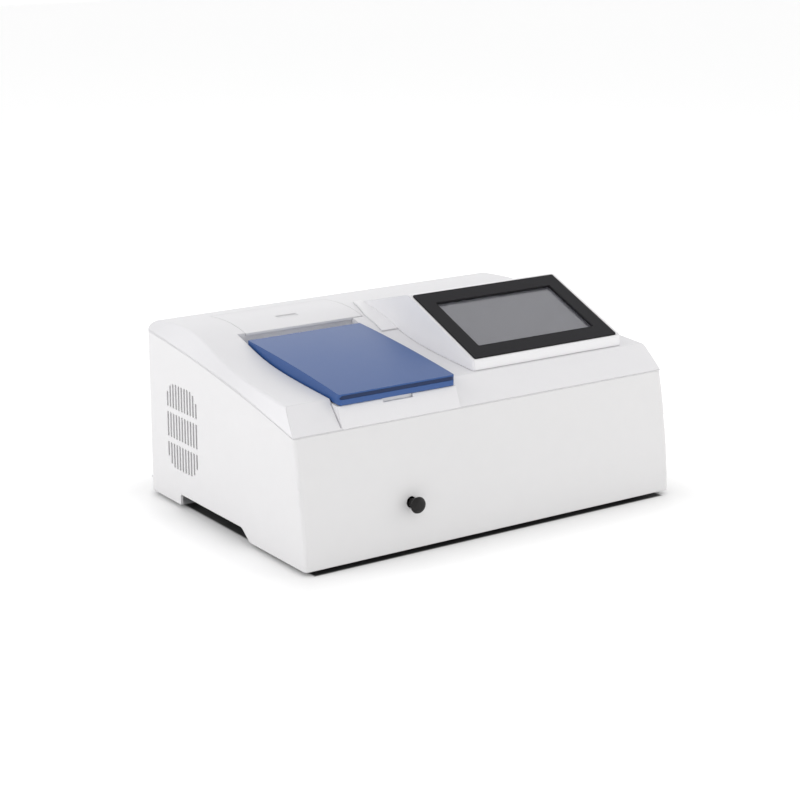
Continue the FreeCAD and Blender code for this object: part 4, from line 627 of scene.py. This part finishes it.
class SPECTRO_OT_sample_lid(bpy.types.Operator):
    """Finishes the blue sample lid, its liner, gasket and hinge, and adds a dark strip that paints the
    shade in its groove
    """
    bl_idname = "spectro.sample_lid"
    bl_label = "Sample lid"

    def execute(self, context):
        settings = context.scene.spectro_lid
        # The lighter tone along the edges is partly wear and partly a painted highlight
        blue = grained("lid_blue_moulding", settings.lid_colour, gloss=settings.lid_gloss,
                       grain_scale=2200.0, grain=0.10, tone=0.05, specular=0.4, wear_and_highlight=(0.12, 0.20, 0.40),
                       radius=settings.lid_edge)
        dress(blue, "sample_lid")
        self.groove_shade_strip()
        liner = grained("liner_black", (0.02, 0.02, 0.021), gloss=0.6, grain_scale=1500.0, grain=0.25,
                        tone=0.08)
        dress(liner, "lid_liner")
        dress(brushed("hinge_metal", (0.58, 0.58, 0.60), gloss=0.35), "hinge_brackets")
        dress(brushed("hinge_pin_steel", (0.66, 0.66, 0.68), gloss=0.22), "hinge_pins")
        rubber = grained("soft_black_rubber", (0.02, 0.02, 0.02), gloss=0.9, grain_scale=700.0, grain=0.35,
                         tone=0.1)
        dress(rubber, "compartment_gasket", "lid_bumpers")
        return {"FINISHED"}

    def groove_shade_strip(self):
        """Dark strip that paints the shade in the groove along the front edge of the lid."""
        # The dark navy strip stands in for the shade in the groove: painted shade
        shade_navy = grained("groove_shade_navy", (0.010, 0.026, 0.085), gloss=0.5, grain=0.1, tone=0.1,
                       gloss_drift=0.1, specular=0.3)
        left, right, front = LID_LOW[0], LID_HIGH[0], LID_LOW[1]
        turn = math.radians(90) / STRIP_STEPS
        run = LID_CORNER - STRIP_END
        inward = [STRIP_END + run * (1 - math.cos(turn * k)) for k in range(STRIP_STEPS + 1)]
        places = [left + step for step in inward] + [right - step for step in reversed(inward)]
        points = []
        for x in places:
            near = min(x - left, right - x, LID_CORNER)
            back = LID_CORNER - math.sqrt(LID_CORNER ** 2 - (LID_CORNER - near) ** 2)
            points += [(x, front + back + depth, LID_FRONT_TOP - drop) for depth, drop in STRIP_SECTION]
        piece = shape("lid_groove_shade_strip", points, bar_faces(len(places), len(STRIP_SECTION), False), shade_navy,
                      "sample_lid")


class SPECTRO_OT_screen(bpy.types.Operator):
    """Finishes the black screen frame, the unlit display and its board, and adds the touch glass"""
    bl_idname = "spectro.screen"
    bl_label = "Screen"

    def execute(self, context):
        settings = context.scene.spectro_screen
        # The lighter tone along the edges is partly wear and partly a painted highlight
        black = grained("frame_black_moulding", settings.frame_colour, gloss=0.55, grain=0.25, tone=0.12,
                        gloss_drift=0.1, specular=0.11, wear_and_highlight=(0.10, 0.10, 0.10), amount=0.4)
        dress(black, "screen_frame")
        display = grained("display_surface", settings.display_colour, gloss=0.4, grain_scale=3000.0,
                          grain=0.02, gloss_drift=0.03, specular=0.2)
        dress(display, "display_module")
        self.glass_panel(glass("touch_glass", (0.97, 0.98, 1.0), roughness=0.03), settings.glass_lift)
        dress(board_green(), "display_board")
        return {"FINISHED"}

    def glass_panel(self, material, lift):
        """Touch glass with the outline of the modelled one, lifted a hair off the display under it."""
        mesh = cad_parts["screen_glass"].data.copy()
        mesh.name = "touch_glass_panel"
        upward = (face for face in mesh.polygons if face.normal.z > 0)
        front = max(upward, key=lambda face: face.area).normal.copy()
        back = min(corner.co.dot(front) for corner in mesh.vertices)
        for corner in mesh.vertices:
            if corner.co.dot(front) < back + GLASS_TOLERANCE:
                corner.co += front * lift
        mesh.materials.clear()
        mesh.materials.append(material)
        piece = bpy.data.objects.new("touch_glass_panel", mesh)
        bpy.context.collection.objects.link(piece)
        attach(piece, "instrument_case")
        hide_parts("screen_glass")


class SPECTRO_OT_carriage(bpy.types.Operator):
    """Finishes the sample compartment, the cell carriage, its rod and its knob"""
    bl_idname = "spectro.carriage"
    bl_label = "Cell carriage"

    def execute(self, context):
        # The lighter tone along the edges is partly wear and partly a painted highlight
        knob = grained("knob_black", (0.011, 0.010, 0.010), gloss=0.42, grain=0.12, tone=0.1,
                       gloss_drift=0.1, specular=0.22, wear_and_highlight=(0.07, 0.07, 0.07), amount=0.5)
        dress(knob, "pull_knob")
        rod = brushed("rod_steel", (0.68, 0.68, 0.70), gloss=0.2, stretch=(900.0, 20.0, 900.0))
        dress(rod, "pull_rod", "carriage_rails")
        anodised = grained("black_anodised", (0.022, 0.022, 0.024), gloss=0.42, grain_scale=2600.0,
                           grain=0.2, tone=0.1, gloss_drift=0.12, metal=0.6)
        dress(anodised, "compartment_tub", "cell_carriage")
        dress(brushed("spring_steel", (0.70, 0.69, 0.66), gloss=0.25), "cell_springs", "click_spring")
        nylon = grained("black_nylon", (0.03, 0.03, 0.03), gloss=0.5, grain_scale=1200.0, tone=0.06)
        dress(nylon, "rod_bushing")
        dress(glass("window_glass", (0.95, 0.98, 1.0)), "beam_windows")
        return {"FINISHED"}


class SPECTRO_OT_optics(bpy.types.Operator):
    """Finishes the lamp, the filter wheel, the monochromator and the detector"""
    bl_idname = "spectro.optics"
    bl_label = "Optics"

    def execute(self, context):
        cast = grained("cast_aluminium", (0.50, 0.51, 0.52), gloss=0.5, grain_scale=500.0, grain=0.5,
                       tone=0.12, gloss_drift=0.15, metal=0.9)
        dress(cast, "monochromator_housing", "monochromator_cover", "grating_table")
        anodised = grained("black_anodised_fine", (0.02, 0.02, 0.022), gloss=0.5, grain_scale=2600.0,
                           grain=0.2, tone=0.1, metal=0.6)
        dress(anodised, "slit_plates", "mirror_mounts", "filter_wheel", "lens_holder", "detector_housing")
        silver = brushed("front_silver", (0.93, 0.94, 0.95), gloss=0.03, stretch=(60.0, 60.0, 60.0),
                         strength=0.0)
        dress(silver, "concave_mirrors", "diffraction_grating")
        dress(glass("lens_glass", (0.96, 0.98, 1.0)), "condenser_lens")
        dress(glass("lamp_quartz", (1.0, 0.99, 0.95)), "tungsten_lamp")
        dress(glass("filter_amber", (0.9, 0.35, 0.08)), "optical_filters")
        ceramic = grained("socket_ceramic", (0.75, 0.73, 0.68), gloss=0.5, grain_scale=900.0, grain=0.2,
                          tone=0.05)
        dress(ceramic, "lamp_socket")
        motor = brushed("motor_steel", (0.55, 0.55, 0.56), gloss=0.35, stretch=(30.0, 700.0, 700.0))
        dress(motor, "drive_motor", "filter_motor", "drive_plunger", "filter_shaft", "photodiode")
        return {"FINISHED"}


class SPECTRO_OT_electronics(bpy.types.Operator):
    """Finishes the circuit boards inside the case"""
    bl_idname = "spectro.electronics"
    bl_label = "Electronics"

    def execute(self, context):
        dress(board_green(), "detector_board", "main_board", "power_supply_board", "interface_board")
        return {"FINISHED"}


class SPECTRO_OT_rear_fittings(bpy.types.Operator):
    """Finishes the fan, the mains inlet, the switch and the data sockets"""
    bl_idname = "spectro.rear_fittings"
    bl_label = "Rear fittings"

    def execute(self, context):
        black = grained("fitting_black", (0.02, 0.02, 0.021), gloss=0.42, grain_scale=1500.0, grain=0.12,
                        tone=0.06)
        dress(black, "power_inlet", "fuse_drawer", "power_switch", "fan_frame", "fan_rotor")
        rocker = grained("rocker_black", (0.025, 0.025, 0.026), gloss=0.25, grain_scale=1500.0, grain=0.05,
                         tone=0.06)
        dress(rocker, "power_rocker")
        chrome = brushed("guard_chrome", (0.75, 0.75, 0.77), gloss=0.16, stretch=(200.0, 200.0, 200.0),
                         strength=0.03)
        dress(chrome, "fan_guard")
        tin = brushed("socket_tin", (0.68, 0.68, 0.70), gloss=0.3, stretch=(30.0, 30.0, 900.0))
        dress(tin, "data_sockets")
        return {"FINISHED"}


# Stage

def past_range(tree, value, low, high):
    """How far a value lies past the ends of a range, negative inside it."""
    offset = math_node(tree, "ABSOLUTE", math_node(tree, "SUBTRACT", value, (low + high) / 2))
    return math_node(tree, "SUBTRACT", offset, (high - low) / 2)


class SPECTRO_OT_stage(bpy.types.Operator):
    """Lays the floor and sets the light and the camera"""
    bl_idname = "spectro.stage"
    bl_label = "Stage"

    def execute(self, context):
        settings = context.scene.spectro_stage
        self.lay_floor(context, settings)
        self.light_sky(context, settings)
        context.scene.view_settings.view_transform = "Standard"
        for lamp in LAMPS:
            self.hang_lamp(context, *lamp)
        self.set_camera(context)
        return {"FINISHED"}

    def lay_floor(self, context, settings):
        """Pale square floor with its own soft light and a contact shadow."""
        half = settings.floor_size / 2
        corners = [(-half, -half, 0), (half, -half, 0), (half, half, 0), (-half, half, 0)]
        mesh = bpy.data.meshes.new("studio_floor")
        mesh.from_pydata(corners, [], [(0, 1, 2, 3)])
        floor = bpy.data.objects.new("studio_floor", mesh)
        context.collection.objects.link(floor)
        paper = grained("floor_white", settings.floor_colour, gloss=0.6, grain_scale=40.0, grain=0.0,
                        tone=0.005, gloss_drift=0.05)
        mesh.materials.append(paper)
        tree = paper.node_tree
        shader = next(made for made in tree.nodes if made.type == "BSDF_PRINCIPLED")
        split = node(tree, "ShaderNodeSeparateXYZ")
        link(tree, object_place(tree), split.inputs[0])
        self.glow_around_case(tree, shader, split, settings.floor_glow)
        self.shade_under_case(tree, shader, split)

    def glow_around_case(self, tree, shader, split, strength):
        """The floor's own light starts at the case's outline and grows with the distance from it, painting
        a soft shadow around the case.
        """
        past_x = past_range(tree, split.outputs["X"], -HALF_WIDTH, HALF_WIDTH)
        past_y = past_range(tree, split.outputs["Y"], CASE_LOW[1], REAR_Y)
        squares = []
        for past in (past_x, past_y):
            outside = math_node(tree, "MAXIMUM", past, 0.0)
            squares.append(math_node(tree, "POWER", outside, 2.0))
        away = math_node(tree, "SQRT", math_node(tree, "ADD", *squares))
        shader.inputs["Emission Color"].default_value = (*WHITE, 1.0)
        link(tree, smooth_rise(tree, away, 0.0, GLOW_REACH, strength), shader.inputs["Emission Strength"])

    def shade_under_case(self, tree, shader, split):
        """Darkens the floor right under the case, as a contact shadow."""
        side = HALF_WIDTH - SHADOW_INSIDE_SIDES
        front, rear = CASE_LOW[1] - SHADOW_PAST_FRONT, REAR_Y - SHADOW_INSIDE_REAR
        past_x = past_range(tree, split.outputs["X"], -side, side)
        past_y = past_range(tree, split.outputs["Y"], front, rear)
        past = math_node(tree, "MAXIMUM", past_x, past_y)
        shade = node(tree, "ShaderNodeMix", data_type="RGBA")
        shade.inputs["A"].default_value = SHADOW_TONE
        link(tree, smooth_rise(tree, past, -SHADOW_FADE, 0.0), shade.inputs["Factor"])
        link(tree, shader.inputs["Base Color"].links[0].from_socket, shade.inputs["B"])
        link(tree, shade.outputs["Result"], shader.inputs["Base Color"])

    def light_sky(self, context, settings):
        """Even white light from all around, stronger toward the horizon."""
        world = bpy.data.worlds.new("studio_world")
        context.scene.world = world
        world.use_nodes = True
        sky = world.node_tree
        back = sky.nodes["Background"]
        height = node(sky, "ShaderNodeSeparateXYZ")
        link(sky, node(sky, "ShaderNodeTexCoord").outputs["Generated"], height.inputs[0])
        lowness = math_node(sky, "SUBTRACT", 1.0, math_node(sky, "ABSOLUTE", height.outputs["Z"]))
        glow = math_node(sky, "POWER", lowness, HORIZON_FALLOFF)
        horizon = math_node(sky, "MULTIPLY", glow, settings.horizon_glow)
        back.inputs["Color"].default_value = (*WHITE, 1.0)
        link(sky, math_node(sky, "ADD", horizon, settings.sky_strength), back.inputs["Strength"])

    def hang_lamp(self, context, name, place, target, size, power, colour):
        """Soft rectangular lamp that the camera doesn't see."""
        lamp = bpy.data.lights.new(name, "AREA")
        lamp.shape = "RECTANGLE"
        lamp.size, lamp.size_y = size
        lamp.energy = power
        lamp.color = colour
        holder = bpy.data.objects.new(name, lamp)
        holder.location = place
        holder.rotation_euler = (Vector(target) - Vector(place)).to_track_quat("-Z", "Y").to_euler()
        holder.visible_camera = False
        context.collection.objects.link(holder)

    def set_camera(self, context):
        """Camera at the photograph's viewing angle."""
        lens = bpy.data.cameras.new("photo_camera")
        lens.sensor_fit = "HORIZONTAL"
        lens.sensor_width = SENSOR_WIDTH_MM
        lens.lens = SENSOR_WIDTH_MM * FOCAL_PIXELS / IMAGE_SIZE
        lens.clip_end = FARTHEST_VIEW
        camera = bpy.data.objects.new("photo_camera", lens)
        camera.location = CAMERA_PLACE
        turns = (90.0 - CAMERA_PITCH, CAMERA_ROLL, CAMERA_YAW)
        camera.rotation_euler = [math.radians(turn) for turn in turns]
        context.collection.objects.link(camera)
        context.scene.camera = camera


class SPECTRO_PT_panel(bpy.types.Panel):
    """Lists the pieces of the instrument and their settings"""
    bl_idname = "SPECTRO_PT_panel"
    bl_label = "Spectrophotometer"
    bl_space_type = "VIEW_3D"
    bl_region_type = "UI"
    bl_category = "Spectro"

    def draw(self, context):
        scene = context.scene
        for group in (scene.spectro_case, scene.spectro_lid, scene.spectro_screen, scene.spectro_stage):
            column = self.layout.column()
            for name in group.__annotations__:
                column.prop(group, name)
        for step in STEPS:
            self.layout.operator(step.bl_idname)


SETTINGS = {
    "spectro_case": SPECTRO_PG_case,
    "spectro_lid": SPECTRO_PG_lid,
    "spectro_screen": SPECTRO_PG_screen,
    "spectro_stage": SPECTRO_PG_stage,
}
STEPS = (
    SPECTRO_OT_stage,
    SPECTRO_OT_lower_case,
    SPECTRO_OT_top_cover,
    SPECTRO_OT_sample_lid,
    SPECTRO_OT_screen,
    SPECTRO_OT_carriage,
    SPECTRO_OT_optics,
    SPECTRO_OT_electronics,
    SPECTRO_OT_rear_fittings,
)


def register():
    for made in (*SETTINGS.values(), *STEPS, SPECTRO_PT_panel):
        bpy.utils.register_class(made)
    for name, made in SETTINGS.items():
        setattr(bpy.types.Scene, name, bpy.props.PointerProperty(type=made))


def unregister():
    for name in SETTINGS:
        delattr(bpy.types.Scene, name)
    for made in reversed((*SETTINGS.values(), *STEPS, SPECTRO_PT_panel)):
        bpy.utils.unregister_class(made)


def main():
    register()
    for step in STEPS:
        group, name = step.bl_idname.split(".")
        getattr(getattr(bpy.ops, group), name)()


if __name__ == "__main__":
    main()
